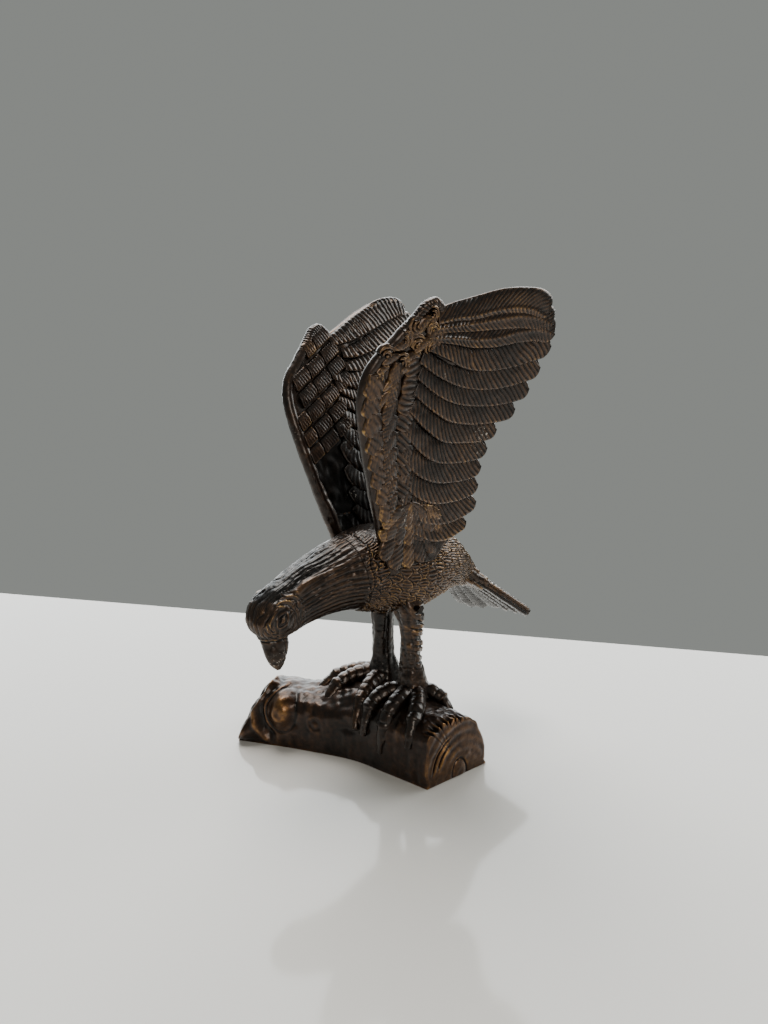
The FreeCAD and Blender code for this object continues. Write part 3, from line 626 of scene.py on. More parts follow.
# Eye: a ball between two lids that slant with the head, and a brow over it. Curled strokes fill the cheek.
eye_y, eye_z = -51.0, 63.4
along = 0.64 * (y - eye_y) + 0.77 * (z - eye_z)
over = -0.77 * (y - eye_y) + 0.64 * (z - eye_z)
from_eye = np.hypot(along, over)
cheek = ease(off, 3.5, 5.5) * (1 - beak)
eye_area = wane(np.hypot(along * 0.85, over), 2.4, 3.6) * cheek
relief *= 1 - eye_area
lid = np.abs(over) - 1.45 * (1 - (along / 2.7) ** 2)
lids = 0.26 * hump(lid, 0.35, 0.42) - 0.42 * hump(lid, -0.55, 0.36)
relief += cheek * lids * wane(np.abs(along), 2.4, 3.3)
relief += 0.50 * cheek * wane(from_eye, 0.4, 1.2)
relief += cheek * 0.8 * hump(over - 3.3 + 0.05 * along ** 2, 0, 0.75) * wane(np.abs(along - 0.3), 3.2, 5.6)
curls = cut(from_eye / 1.75 + 0.55 * np.arctan2(over, along) + 0.5 * lumps(rings, 3.0, 33), 0.5)
curls = curls * ease(from_eye, 3.8, 4.6) * wane(from_eye, 8.0, 10.5)
curls = curls * cheek * wane(over, 2.0, 3.5)
relief = relief * (1 - 0.6 * (curls > 0.02) * wane(from_eye, 8.0, 10.5)) - 0.62 * curls
# Beak: the cere's lip and cut, the nostrils, and the line of the mouth.
cere = np.abs(z - 57.2 - 0.12 * (y + 51))
face = ease(-y, 45.5, 47.5)
relief += 0.45 * hump(cere, 0, 0.7) * face - 0.55 * hump(z, 56.3, 0.4) * face
nostril = np.sqrt((np.abs(x - 3.4) - 3.4) ** 2 + (y + 53.2) ** 2 + ((z - 55.0) * 0.8) ** 2)
relief -= 0.9 * hump(nostril, 0, 0.7)
relief -= 0.45 * hump(y + 49.2 + 0.10 * (z - 52), 0, 0.35) * beak * ease(z, 49.5, 51.0)
relief += 0.10 * lumps(rings, 1.2, 12) + 0.25 * lumps(rings, 5.0, 13)
skin = raised(rings, relief)
wear_and_shade = rubbing(skin, 1.25) + 0.10 * ease(y, -22.0, -8.0) * wane(z, 76.0, 80.0) - 0.14 * crest
wear_and_shade = wear_and_shade - 0.10 * eye_area - 0.34 * ease(z - ridge_z, 0.5, 3.0) * ease(-y, 24.0, 32.0) + 0.10 * ridge
# The skin is cut in two where the neck starts. Each part's last rings sink in under the other part.
sink = np.array([0.25, 0.8, 1.6, 2.6])
lap = len(sink)
joint = int(np.argmax(-y[:, 0] > neck_start))
tuck = sink[:, None, None] * skin_normals(skin)[joint:joint + lap] * facing_out(skin)
trunk, neck = skin[:joint + lap].copy(), skin[joint - lap:].copy()
trunk[-lap:] -= tuck
neck[:lap] -= tuck[::-1]
casting("trunk_skin", [tube(trunk, wear_and_shade[:joint + lap])], bird_bronze, "bird_bronze", "body")
casting("neck_and_head_skin", [tube(neck, wear_and_shade[joint - lap:])], bird_bronze, "bird_bronze", "body")

# ---------------------------------------------------------------------------
# Wings: each is one thin casting, tenoned to the shoulder. A blade carries
# rows of chased feathers on both faces: a rounded rim, three columns of
# coverts and thirteen flight feathers outside, and lozenge-shaped lining
# feathers inside. Every feather here is its own closed skin on the blade.
# ---------------------------------------------------------------------------
wing_base, wing_rise, shoulder_x = 84.0, 79.5, 11.5
proud = {1: 1.0, -1: 0.4}  # share of their full height that the left and the right wing's coverts have


def inner_x(y, z):
    """How far out the inner face of the left blade stands: it flares with height, and the rear tips turn
    out more."""
    s = np.clip((z - wing_base) / wing_rise, 0, 1)
    return shoulder_x + 21.0 * (0.6 * s + 0.4 * s * s) + 6.0 * np.maximum((y - 12.0) / 35.0, 0) * s


def blade_thick(y, z):
    """Thickness of the blade: 5.0 mm at the root, 2.6 mm at the top, and a quarter less towards the
    feather tips."""
    s = np.clip((z - wing_base) / wing_rise, 0, 1)
    return (5.0 - 2.4 * s) * (1 - 0.25 * ease(y, 0.0, 28.0))


def on_wing(side, face, y, z, height):
    """Places points of a wing's own plane in the bird: out from the outer face (+1) or in from the inner
    face (-1) by `height` mm along that face's normal. The right wing is the mirror of the left."""
    def face_x(yy, zz):
        # How far out this face stands: the outer one is the blade's thickness beyond the inner one.
        return inner_x(yy, zz) + (blade_thick(yy, zz) if face > 0 else 0.0)

    slope_y = face_x(y + 0.5, z) - face_x(y - 0.5, z)
    slope_z = face_x(y, z + 0.5) - face_x(y, z - 0.5)
    step = face * height / np.sqrt(1 + slope_y * slope_y + slope_z * slope_z)
    return np.stack([side * (face_x(y, z) + step), y - step * slope_y, z - step * slope_z], axis=-1)


def feather(place, line, barb, crown, lift, seed, thick=1.4, tilt=0.0, quill=0.0, quill_at=0.0, rim=0.0,
            shear=0.0, blunt=1.0, strand=0.0, tone_and_shade=0.0, grain=0.36):
    """Closed skin of one feather laid on a face by `place(u, v, height)`. `line` runs from root to tip as
    (u, v, half width), and t runs across it from -1 on the upper edge to +1 on the lower one. Height =
    lift + tilt*t + a crown + a rim beside the lower edge + barbs (their pitch, slant and depth) + a quill
    + long strands, less a fall at both edges. The tip is a rounded end. With a quill the barbs slant away
    from it on both sides."""
    control = np.array(line, float)
    length = np.linalg.norm(np.diff(control[:, :2], axis=0), axis=1).sum()
    rows = max(int(length / grain), 8)
    p = smooth_line(control, rows, 2)
    centre, half = p[:, :2], np.maximum(p[:, 2], 0.05)
    s = np.linspace(0, length, rows)
    left = np.clip((length - s) / (blunt * half[-1] + 1e-6), 0, 1)
    half = half * np.sqrt(np.maximum(1 - (1 - left) ** 2.6, 0.003))
    heading = np.gradient(centre, axis=0)
    heading /= np.linalg.norm(heading, axis=1, keepdims=True)
    down = np.stack([heading[:, 1], -heading[:, 0]], axis=1)

    def flat(reach):
        # Places in the face's plane: the middle line, `reach` across it, and `shear` times that along it.
        along = heading[:, None] * (shear * reach)[..., None]
        return centre[:, None] + down[:, None] * reach[..., None] + along

    wide = int(np.clip(2 * control[:, 2].max() / grain, 8, 30))
    t = np.sin(np.linspace(-np.pi / 2, np.pi / 2, wide) * 0.96)
    t = (t / t[-1])[None, :]
    reach = half[:, None] * t
    spots = flat(reach)
    probe = np.concatenate([spots, np.full(spots.shape[:2] + (1,), seed * 7.0)], axis=2)
    pitch, slant, depth = barb
    vane = np.abs(reach - quill_at * half[:, None]) if quill else reach
    comb = (s[:, None] - slant * vane) / pitch + 0.30 * lumps(probe, 4.0, seed)
    comb = np.abs(np.sin(np.pi * comb)) ** 0.5 - 0.65
    fade = ease(s, 0.0, 1.5)[:, None] * ease(left, 0.02, 0.5)[:, None]
    depth = depth * (1.0 + 0.45 * lumps(probe, 5.0, seed + 6)) * (1 - np.abs(t) ** 8)
    h = lift + tilt * t + crown * (1 - t ** 2) + depth * comb * fade
    h = h + rim * hump(t, 0.86, 0.12) + quill * hump(vane, 0, 0.42) * fade
    strands = np.abs(np.sin(np.pi * (reach / 1.15 + 0.3 * lumps(probe, 3.0, seed + 4)))) ** 0.5 - 0.6
    h = h + strand * strands * fade + 0.14 * lumps(probe, 2.2, seed + 2)
    h = h - 0.75 * (1 - np.sqrt(np.maximum(1 - np.abs(t) ** 6, 0)))
    back = np.linspace(1, -1, max(wide // 4, 4) + 2)[None, 1:-1] * 0.96
    hollow = flat(half[:, None] * back)
    top = place(spots[..., 0], spots[..., 1], h)
    under = place(hollow[..., 0], hollow[..., 1], lift - thick + tilt * back)
    rings = np.concatenate([top, under], axis=1)
    # The feather's own tone is added, and painted shade on the lower parts of the wings' inner faces and the
    # tail's underside.
    rub_and_shade = rubbing(rings, 1.25) + tone_and_shade
    # Both long edges of the top are darkened: patina in the gaps between feathers, and painted shade under
    # the feather above.
    rub_and_shade[:, :wide] -= 0.26 * ease(-t, 0.35, 0.95) + 0.24 * ease(t, 0.78, 0.97)
    return tube(rings, rub_and_shade)


# Flight feathers of the left wing, root to tip, from the top: Y, Z and half width along each middle line.
flight_feathers = [
    [(-4, 154.6, 1.9), (3.3, 156.2, 2.4), (11, 157.3, 2.9), (19, 159, 3.1), (28.8, 159.9, 3.4),
     (35.5, 158.9, 3.6), (40.8, 156.2, 3.4)],
    [(-5, 151.6, 1.5), (3, 152.4, 1.9), (12, 153.4, 2.6), (20, 154.6, 3.3), (30, 155.4, 3.7),
     (38, 154.6, 3.8), (43.6, 152.4, 3.6)],
    [(-5, 149, 1.4), (4, 148.9, 2), (13, 148.4, 2.6), (22, 149, 3.1), (32, 150.8, 3.5), (40, 151, 3.7),
     (45.4, 149.4, 3.4)],
    [(-5, 146.6, 1.6), (4, 144.4, 2.4), (12, 142.3, 3.1), (21, 141.8, 3.5), (31, 143.2, 3.9),
     (39.5, 145.2, 3.9), (45.2, 145.6, 3.4)],
    [(-4.5, 142, 1.6), (2.5, 138.6, 2.4), (11, 136.3, 2.9), (20, 135.4, 3.3), (30, 136.2, 3.6),
     (38, 137.8, 3.5), (42.9, 138.6, 3.2)],
    [(-4.5, 137.4, 1.7), (3, 133, 2.6), (11, 130.8, 3.1), (20, 129.9, 3.3), (30, 130.2, 3.5),
     (36.5, 131, 3.3), (40.4, 131.4, 3)],
    [(-5, 132.6, 1.8), (1, 128.6, 2.7), (8, 125.6, 3.2), (16, 124.2, 3.4), (25, 123.9, 3.5),
     (31.5, 124.2, 3.3), (36, 124.7, 3)],
    [(-5.5, 127.2, 2), (0, 122.4, 2.9), (7, 119, 3.4), (15, 118, 3.5), (23, 117.6, 3.4),
     (29.4, 117.9, 2.9)],
    [(-6, 120.6, 2.2), (-2, 115.8, 3.1), (4.5, 112.6, 3.6), (12, 111.5, 3.7), (20, 111.2, 3.5),
     (26.6, 111.6, 2.9)],
    [(-6.3, 113.6, 2.3), (-2.5, 108.4, 3.2), (4.5, 105.6, 3.6), (12, 104.7, 3.7), (19, 104.6, 3.5),
     (25.1, 105.2, 2.9)],
    [(-5.8, 106, 2.3), (-2.5, 101, 3.2), (4, 98.4, 3.6), (12, 97.5, 3.7), (19, 97.8, 3.4),
     (24.9, 98.6, 2.8)],
    [(-5, 98.4, 2.3), (-2, 93.9, 3.3), (4, 91.2, 3.8), (12, 90.3, 3.9), (19, 91, 3.5), (24.9, 92.3, 2.8)],
    [(-4.5, 91.4, 2.3), (-1, 87.4, 3.2), (5, 84.6, 3.5), (11, 83.7, 3.4), (17.5, 84.6, 2.8),
     (21, 85.4, 2.3)],
]
# The same for the four longest feathers of the right wing, which opens a little wider.
right_primaries = [
    [(-5, 149.5, 2), (2, 152, 3.2), (10, 155.5, 4.2), (18, 158.8, 4.5), (27, 161.8, 4.5),
     (32.5, 162.6, 3.9), (36.5, 161.6, 3.5)],
    [(-1, 145.3, 2), (5, 146.2, 2.8), (12, 148.6, 3.3), (20, 152, 3.5), (28, 155.2, 3.6),
     (35, 157.4, 3.6), (40, 157.6, 3.3)],
    [(-1, 140.5, 2), (7, 141.5, 3), (17, 144.4, 3.6), (27, 148.3, 3.8), (36, 151.8, 3.8),
     (42, 152.6, 3.4)],
    [(-1.5, 136.5, 2), (8, 136.8, 3.2), (19, 138.6, 3.8), (29, 141.8, 4), (37.5, 145.8, 3.9),
     (43, 146.8, 3.4)],
]
# Outline of each wing, from the foot of the leading edge over the wrist and the tips to the rear of the
# root, as shares of a box whose lower front corner is wing_corner.
wing_box, wing_corner = (75.0, wing_rise), (-20.0, wing_base)
left_edge = np.array([
    (0.10, -0.15), (0.06, 0.0), (0.0, 0.185), (-0.04, 0.30), (-0.08, 0.44), (-0.112, 0.575), (-0.11, 0.65),
    (-0.065, 0.737), (0.025, 0.825), (0.105, 0.902), (0.16, 0.951), (0.197, 0.96), (0.234, 0.945),
    (0.25, 0.907), (0.413, 0.952), (0.65, 0.99), (0.77, 0.95), (0.865, 0.81), (0.83, 0.66), (0.735, 0.515),
    (0.61, 0.36), (0.59, 0.18), (0.50, 0.01),
]) * wing_box + wing_corner
right_edge = np.array([
    (0.08, -0.15), (0.03, 0.0), (-0.023, 0.162), (-0.06, 0.317), (-0.094, 0.47), (-0.102, 0.557),
    (-0.09, 0.63), (-0.062, 0.684), (-0.007, 0.747), (0.07, 0.834), (0.117, 0.89), (0.162, 0.904),
    (0.202, 0.88), (0.217, 0.84), (0.43, 0.956), (0.624, 1.012), (0.735, 1.0), (0.785, 0.84), (0.83, 0.66),
    (0.735, 0.515), (0.61, 0.36), (0.59, 0.18), (0.50, 0.01),
]) * wing_box + wing_corner


def reshaped(y, z, side):
    """Moves the left wing's layout to the right wing's outline: each point moves as the outline's points
    near it do, weighted by one over the fourth power of their distance, with 2 mm added so that no weight
    runs away."""
    if side > 0:
        return y, z
    d = (y[..., None] - left_edge[:, 0]) ** 2 + (z[..., None] - left_edge[:, 1]) ** 2 + 4.0
    w = 1 / d ** 2
    w = w / w.sum(axis=-1, keepdims=True)
    move = right_edge - left_edge
    return y + (w * move[:, 0]).sum(axis=-1), z + (w * move[:, 1]).sum(axis=-1)


def laid(side, face, own=False):
    """A placing rule for one face of a wing. The layout is the left wing's, reshaped, or the wing's own."""
    def place(u, v, height):
        y, z = (u, v) if own else reshaped(u, v, side)
        return on_wing(side, face, y, z, height)
    return place


def shake(side, k, size):
    """Unevenness of the chaser's hand, up to `size` either way: a sine taken at steps that never fall in
    with it."""
    return size * math.sin(12.9898 * k + 2.3 * side)


def wing_blade(side):
    """The plain blade under the feathers: level rings from the shoulder to the wrist, each running along
    the outer face and back along the inner one, from the leading edge to just inside the feather tips."""
    rows, across = 210, 80
    z = np.linspace(73.5, 158.0, rows)
    front = np.interp(z, left_edge[:12, 1], left_edge[:12, 0]) + 0.8
    back = np.full(rows, -2.0)
    for tip_y, tip_z, tip_half in [line[-1] for line in flight_feathers]:
        covered = tip_y - 2.6 - 0.5 * (z - tip_z) ** 2 / tip_half
        back = np.maximum(back, np.where(np.abs(z - tip_z) < tip_half + 0.6, covered, -2.0))
    back = np.where(z < 84.5, np.interp(z, (73.5, 84.5), (8.0, 18.0)), back)
    back = np.minimum(back, np.interp(z, (146.0, 151.0, 155.0, 158.0), (60.0, 34.0, 14.0, -3.5)))
    u = np.linspace(0, 1, across)
    y = front[:, None] + (back - front)[:, None] * u[None, :]
    y, rise = reshaped(y, z[:, None] + 0 * y, side)
    grit = np.stack([y, rise, 0 * y + side], -1)
    h = -0.35 + 0.35 * lumps(grit, 3.0, 5) + 0.14 * lumps(grit * (1, 0.5, 1), 1.1, 6)
    h = h - 0.9 * wane((1 - u)[None, :] * (back - front)[:, None], 0.0, 1.6)
    rings = np.concatenate([on_wing(side, 1, y, rise, h), on_wing(side, -1, y, rise, h)[:, ::-1]], axis=1)
    wear_and_shade = rubbing(rings, 1.1)
    # The inner face is darkened below the middle of the wing as painted shade.
    wear_and_shade[:, across:] -= 0.30 * wane(z, 112.0, 124.0)[:, None]
    return tube(rings, wear_and_shade - 0.05)


def leading_rim(side):
    """Smooth rounded bead along the leading edge, from the shoulder round the wrist, a little proud of
    both faces."""
    y, z = reshaped(left_edge[:14, 0], left_edge[:14, 1], side)
    radius = blade_thick(y, z) / 2 + np.array([0.15] * 7 + [0.25, 0.35, 0.4, 0.4, 0.35, 0.3, 0.3])
    y = y + radius * np.array([0.9] * 6 + [0.85, 0.7, 0.6, 0.55, 0.5, 0.1, -0.45, -0.5])
    z = z + radius * np.array([0] * 6 + [-0.1, -0.4, -0.55, -0.65, -0.75, -0.8, -0.6, 0.1])
    mid = (inner_x(y, z) + blade_thick(y, z) / 2) * side
    rings, a = hoops(smooth_line(np.column_stack([mid, y, z, radius]), 360), 48)
    run = np.linspace(0, 1, len(rings))[:, None]
    h = 0.26 * lumps(rings, 5.0, 7 + side) + 0.08 * lumps(rings, 1.5, 9)
    h -= 0.34 * cut(run * 95 + 0.5 * np.sin(a) + 0.6 * lumps(rings, 3.0, 15)) * ease(run, 0.80, 0.86)
    rings = raised(rings, h)
    return tube(rings, rubbing(rings, 1.1) - 0.08)


def flight_row(side, face):
    """The thirteen flight feathers of one face, from the top, as (number, placing rule, line)."""
    longest = right_primaries if side < 0 else flight_feathers[:4]
    row = [(laid(side, face, own=True), line) for line in longest]
    row += [(laid(side, face), line) for line in flight_feathers[4:]]
    return [(k, place, np.array(line)) for k, (place, line) in enumerate(row)]


def outer_flight(side):
    """Flight feathers of the outer face, widened until they overlap. Their roots reach forward under the
    coverts, and the upper three have a quill."""
    for k, place, line in flight_row(side, 1):
        if k > 3:
            line[0] += (-3.2, 1.6, 0.6)
        elif side < 0 and k > 0:
            line[0] += (-2.8, -0.2, 0.2)
        line[:, 2] *= 1.0 if side < 0 and k < 4 else 1.18
        quilled = k < 3
        yield feather(place, line, thick=2.0, tilt=0.60, crown=0.30, lift=0.35, rim=0.12,
                      barb=(1.75, 1.15, 0.50) if quilled else (1.95, 0.75, 0.62),
                      quill=0.42 if quilled else 0.0, quill_at=0.55 if k == 0 else 0.1, blunt=0.85,
                      tone_and_shade=0.04 + shake(side, k, 0.05), seed=k + 2.0 + side)


def coverts(side):
    """Three columns of coverts down the outer face: short level bars beside the flight feathers' roots,
    slanting leaves next to them, and long flat plates inside the rim."""
    outer, high = laid(side, 1), proud[side]
    for k in range(9):
        z = 139.5 - 5.3 * k + shake(side, k, 0.5)
        y = np.interp(z, (96, 106, 117, 127, 140), (-8.1, -9.4, -10.6, -11.6, -10.5))
        y = y + shake(side, k + 0.4, 0.4)
        half = np.interp(z, (96, 106, 117, 127), (3.0, 3.2, 3.7, 3.9)) * (1 + shake(side, k + 0.7, 0.10))
        lean = shake(side, k + 0.2, 0.9)
        line = [(y + 0.8 + lean, z + 3.4, 0.75 * half), (y, z, half), (y - 0.4 - lean, z - 3.6, 0.85 * half)]
        yield feather(outer, line, tilt=shake(side, k + 0.9, 0.35), crown=0.55, lift=0.30,
                      barb=(1.85, shake(side, k + 0.5, 0.5), 0.68), blunt=0.7, seed=k + 30.0)
    for k in range(9):
        z = 138.0 - 5.2 * k + shake(side, k + 3, 0.7)
        y = np.interp(z, (96, 106, 117, 127, 140), (-12.6, -14.5, -16.5, -18.0, -17.2))
        y = y + shake(side, k + 3.3, 0.4)
        half = np.interp(z, (96, 106, 127), (2.3, 2.9, 3.2)) * (1 + shake(side, k + 3.6, 0.12))
        lean = 0.9 + shake(side, k + 3.2, 0.8)
        line = [(y + lean, z + 4.0, 0.72 * half), (y + 0.2, z + 0.5, half), (y - lean, z - 4.2, 0.66 * half)]
        yield feather(outer, line, tilt=0.15, crown=0.7, lift=0.38, barb=(1.6, 1.25, 0.5), quill=0.12,
                      blunt=1.3, seed=k + 50.0)
    for k in range(8 if side > 0 else 6):
        z = 135.0 - 5.9 * k + shake(side, k + 6, 0.6)
        y = np.interp(z, (92, 98, 106, 117, 127, 137), (-15.7, -16.7, -19.7, -22.1, -24.4, -24.1))
        y = y + shake(side, k + 6.5, 0.3) + 2.0 * (1 - high)
        half = np.interp(z, (92, 106, 127), (2.6, 3.4, 3.9)) * (1 + shake(side, k + 6.8, 0.06))
        lean = shake(side, k + 6.2, 0.6)
        line = [(y + lean, z + 4.0, 0.8 * half), (y + 0.3, z, half), (y - 0.4 - lean, z - 3.6, 0.95 * half)]
        yield feather(outer, line, thick=1.5, tilt=0.16 * high, crown=0.45 * high, lift=0.62 * high,
                      barb=(2.6, -0.7, 0.30 * high), rim=0.10, strand=0.34, blunt=0.5,
                      tone_and_shade=0.09 * high, seed=k + 70.0)


def swirl(place, y, z, turn, size, seed, lift):
    """Tuft of nested curls: three crescents round one point, the outer ones longer, all open towards
    `turn`."""
    for k, (r, span) in enumerate(((0.5, 1.2), (1.75, 1.35), (3.2, 1.05))):
        a = turn + math.pi + np.linspace(-span, span, 5) + 0.35 * math.sin(seed * 5 + k)
        r = r * (1 + 0.18 * np.linspace(-1, 1, 5) * math.sin(seed * 3 + k))
        half = size * (0.9 + 0.12 * k) * np.array([0.38, 0.72, 0.85, 0.66, 0.30])
        line = np.column_stack([y + size * r * np.cos(a), z + size * r * np.sin(a), half])
        yield feather(place, line, thick=1.6, tilt=0.2 * math.sin(seed + k), crown=0.65,
                      lift=lift - 0.1 * k, barb=(1.5, 1.0, 0.26), blunt=1.6, tone_and_shade=-0.2, grain=0.30,
                      seed=seed + k)


# Short feathers round the wrist, inside the rim: Y and Z. Each but the last has another behind and below it.
wrist_feathers = [
    (-24.4, 134), (-22.6, 138.5), (-19.5, 142.5), (-16, 146.5), (-12.5, 150), (-9, 152.5), (-5.5, 153),
    (-3, 148.5),
]
# Curls over them: Y, Z, the way they open in radians, and size.
wrist_curls = [(-6.5, 155.2, -2.2, 0.75), (-11.2, 152.0, -0.4, 0.95), (-5.2, 150.6, -1.2, 0.8),
               (-16.2, 147.6, -2.6, 1.05), (-10.4, 146.0, -1.0, 1.1), (-21.4, 143.2, -0.9, 1.0),
               (-16.0, 141.4, -2.2, 0.95), (-24.6, 137.4, -2.5, 0.8), (-4.6, 145.4, -0.2, 0.8)]


def wrist(side):
    """Short feathers and curls that fill the wrist of the outer face."""
    outer, high = laid(side, 1), proud[side]
    for k in range(2 * len(wrist_feathers) - 1):
        y, z = wrist_feathers[k // 2]
        if k % 2:
            y, z = y + 4.2, z - 3.4
        turn = 0.75 + shake(side, k, 0.5)
        c, d = 3.4 * math.cos(turn), 3.4 * math.sin(turn)
        line = [(y - c, z - d, 0.9), (y - 0.6 * math.sin(turn), z, 1.9), (y + c, z + d, 1.0)]
        yield feather(outer, line, tilt=shake(side, k + 2, 0.3), crown=0.6 * high, lift=0.25 * high,
                      barb=(1.5, 1.0, 0.45 * high), strand=0.15, seed=k + 170.0)
    back = 2.0 * (1 - high)
    for k, (y, z, turn, size) in enumerate(wrist_curls):
        turn = turn + shake(side, k, 0.3)
        yield from swirl(outer, y + back, z - back, turn, size, k * 3 + 90.0, 0.55 * high)


def scapulars(side):
    """Three uneven rows of lancet feathers that fan down from the foot of the blade over the flank: each
    runs from r0 to r1 along its own bearing, and the foremost stay short."""
    outer, high = laid(side, 1), proud[side]
    first, last = -2.62 if side > 0 else -1.75, -0.52
    for row, (r0, r1, w, count) in enumerate(((11.5, 24.0, 3.3, 8), (5.0, 15.5, 2.9, 7), (0.0, 8.5, 2.4, 5))):
        for k in range(count):
            turn = first + (last - first) * (k + 0.5 * (row % 2)) / (count - 0.5)
            turn = turn + shake(side, k + 5 * row, 0.07)
            c, d = math.cos(turn), math.sin(turn)
            far = r1 + shake(side, k + 5 * row + 0.5, 1.1)
            far = min(far, 12.5 + 11.5 * float(ease(np.array(turn), -2.6, -1.8)))
            line = [(-6.0 + r * c, 96.0 + r * d, half)
                    for r, half in ((r0, 0.5 * w), ((r0 + far) / 2, w), (far, 0.8 * w))]
            bright = (k + row) % 3 == 1
            yield feather(outer, line, thick=1.6, tilt=shake(side, k + row, 0.2), crown=0.45,
                          lift=(0.10 + 0.32 * row) * high, barb=(2.0, 1.0, 0.30), strand=0.26,
                          blunt=1.1, tone_and_shade=0.24 if bright else 0.02, seed=k + 110.0 + 10 * row)


def inner_flight(side):
    """Flight feathers of the inner face, lower in relief and darkened towards the shoulder as painted shade.
    """
    for k, place, line in flight_row(side, -1):
        line[:, 2] *= 1.0 if side < 0 and k < 4 else 1.16
        below = max(k - 4, 0)
        yield feather(place, line, thick=1.8, tilt=0.5, crown=0.35, lift=0.25, rim=0.12,
                      barb=(2.1, 0.2, 0.62) if k < 4 else (1.7, 0.5, 0.45 - 0.02 * below),
                      blunt=0.9, tone_and_shade=-0.035 * below, seed=k + 200.0 + side)


def lozenges(side):
    """Lozenge lining feathers on a slanting grid: `run` from one to the next along a row that rises to the
    rear, and `drop` from row to row. They are finely combed, fade out and are darkened as painted shade
    towards the shoulder."""
    run, drop = np.array([7.0, 4.6]), np.array([1.9, -5.4])
    along = run / np.linalg.norm(run)
    down = np.array([along[1], -along[0]])
    half, lean = abs(drop @ down) / 2, (drop @ along) / (drop @ down)
    front_line = ((-19.6, -21.0, -23.4, -26.0, -28.2, -27.6, -22.8, -16.0, -9.5) if side < 0 else
                  (-20.5, -22.0, -24.0, -26.8, -29.2, -28.8, -23.0, -15.5, -8.5))
    inner = laid(side, -1, own=True)
    for i in range(-9, 7):
        for j in range(-3, 9):
            uneven = (shake(side, i + 0.3 * j, 0.25), shake(side, j + 0.6 * i, 0.25))
            base = np.array([-18.9, 144.4]) + i * run + j * drop + uneven
            y, z = base + 0.5 * run
            front = np.interp(z, (84, 98, 107, 118, 129, 135, 142, 150, 158), front_line)
            rear = np.interp(z, (84, 100, 125, 135, 142, 150), (-4.0, -3.0, -2.0, -2.0, -3.0, -5.0))
            begin = max(0.05, (front + 2.6 - base[0]) / run[0])
            if begin > 0.55 or y > rear or z < 108 + 0.35 * abs(y + 16) or z > 152:
                continue
            fade = float(ease(np.array(z), 106.0, 124.0))
            line = [(*(base + r * run), 0.94 * half) for r in (begin, (begin + 0.96) / 2, 0.96)]
            # Lower down the lining is darkened as painted shade; lozenges near the front get a lighter tone.
            yield feather(inner, line, tilt=0.34 + shake(side, i + j, 0.1), crown=0.30,
                          lift=0.10 + 0.35 * fade, barb=(1.1, -lean, 0.12 + 0.30 * fade), rim=0.08,
                          shear=lean, blunt=0.16, grain=0.30, seed=i * 3.1 + j + 300.0,
                          tone_and_shade=(0.10 if y < front + 6 else -0.02) - 0.12 * (1 - fade))


for side, wing in ((1, "left_wing"), (-1, "right_wing")):
    flight = [wing_blade(side), leading_rim(side), *outer_flight(side)]
    casting(wing + "_flight_feathers", flight, bird_bronze, "bird_bronze", wing)
    covering = [*coverts(side), *wrist(side), *scapulars(side)]
    casting(wing + "_covert_feathers", covering, bird_bronze, "bird_bronze", wing)
    lining = [*inner_flight(side), *lozenges(side)]
    casting(wing + "_lining_feathers", lining, bird_bronze, "bird_bronze", wing)

# ---------------------------------------------------------------------------
# Tail: a flat fan cast on its own and tongued into the rump. Seven long
# feathers overlap from the middle outwards and end in scallops, with short
# coverts over their roots.
# ---------------------------------------------------------------------------
tail_slope = math.radians(-39.5)
tail_long, tail_half, root_half, tail_thick = 28.0, 18.7, 8.5, 2.4
apex = tail_long * root_half / (tail_half - root_half)  # how far before the root the fan's sides would meet
half_angle = math.atan2(tail_half, tail_long + apex)


def on_tail(face):
    """A placing rule for one face of the fan: u across and v along it from the root at (0, 30.5, 62), with
    height above that face of a plate that slopes down to the rear. Its right half droops, by up to 3.8 mm
    at the end, and is a tenth wider."""
    def place(u, v, height):
        droop = 3.2 * ease(-u, -2.0, 13.0) * np.clip(v / 20.0, 0, 1.2)
        up = face * (tail_thick / 2 + height) - droop
        return np.stack([u + 0.10 * np.minimum(u, 0),
                         30.5 + v * math.cos(tail_slope) - up * math.sin(tail_slope),
                         62.0 + v * math.sin(tail_slope) + up * math.cos(tail_slope)], axis=-1)
    return place


def spoke(spread, places):
    """Line of a feather that lies along a spoke of the fan, from (distance from the apex, half width)
    pairs."""
    return [(r * math.sin(spread), r * math.cos(spread) - apex, half) for r, half in places]


shells = []
for face in (1, -1):
    for k in (0, 6, 1, 5, 2, 4, 3):
        reach = math.hypot(tail_half, tail_long + apex) + 0.1 - 1.9 * math.cos((k - 3) / 3.0 * math.pi / 2)
        line = spoke(half_angle * (k - 3) / 3.5,
                     ((apex - 1.0, 1.5), (apex + 9, 2.1), (apex + 18, 2.8), (reach, 3.2)))
        tilt = 0.0 if k == 3 else (0.35 if k < 3 else -0.35) * face
        # On the underside (face -1) the feathers are darkened as painted shade.
        shells.append(feather(on_tail(face), line, thick=1.6, tilt=tilt, crown=0.35, rim=0.10,
                              lift=0.30 + 0.22 * (3 - abs(k - 3)), quill=0.25 if face > 0 else 0.12,
                              barb=(1.8, 0.9 if k < 3 else -0.9, 0.42 if face > 0 else 0.24),
                              tone_and_shade=0.0 if face > 0 else -0.34, seed=400.0 + k + 20 * face))
    # Tail coverts: two rows of short feathers over the roots.
    for row, (r, count, half) in enumerate(((8.0, 6, 2.2), (3.5, 5, 2.2))):
        for k in range(count):
            spread = half_angle * (k - (count - 1) / 2) / (count / 2) * 0.9
            line = spoke(spread, ((apex + (r - 6), half * 0.7), (apex + (r - 2), half),
                                  (apex + (r + 2.0), half * 0.95)))
            shells.append(feather(on_tail(face), line, thick=1.6, crown=0.5, lift=1.1 + 0.6 * row,
                                  barb=(9.0, 0, 0), strand=0.3, blunt=0.9, seed=450.0 + k + 9 * row + face))
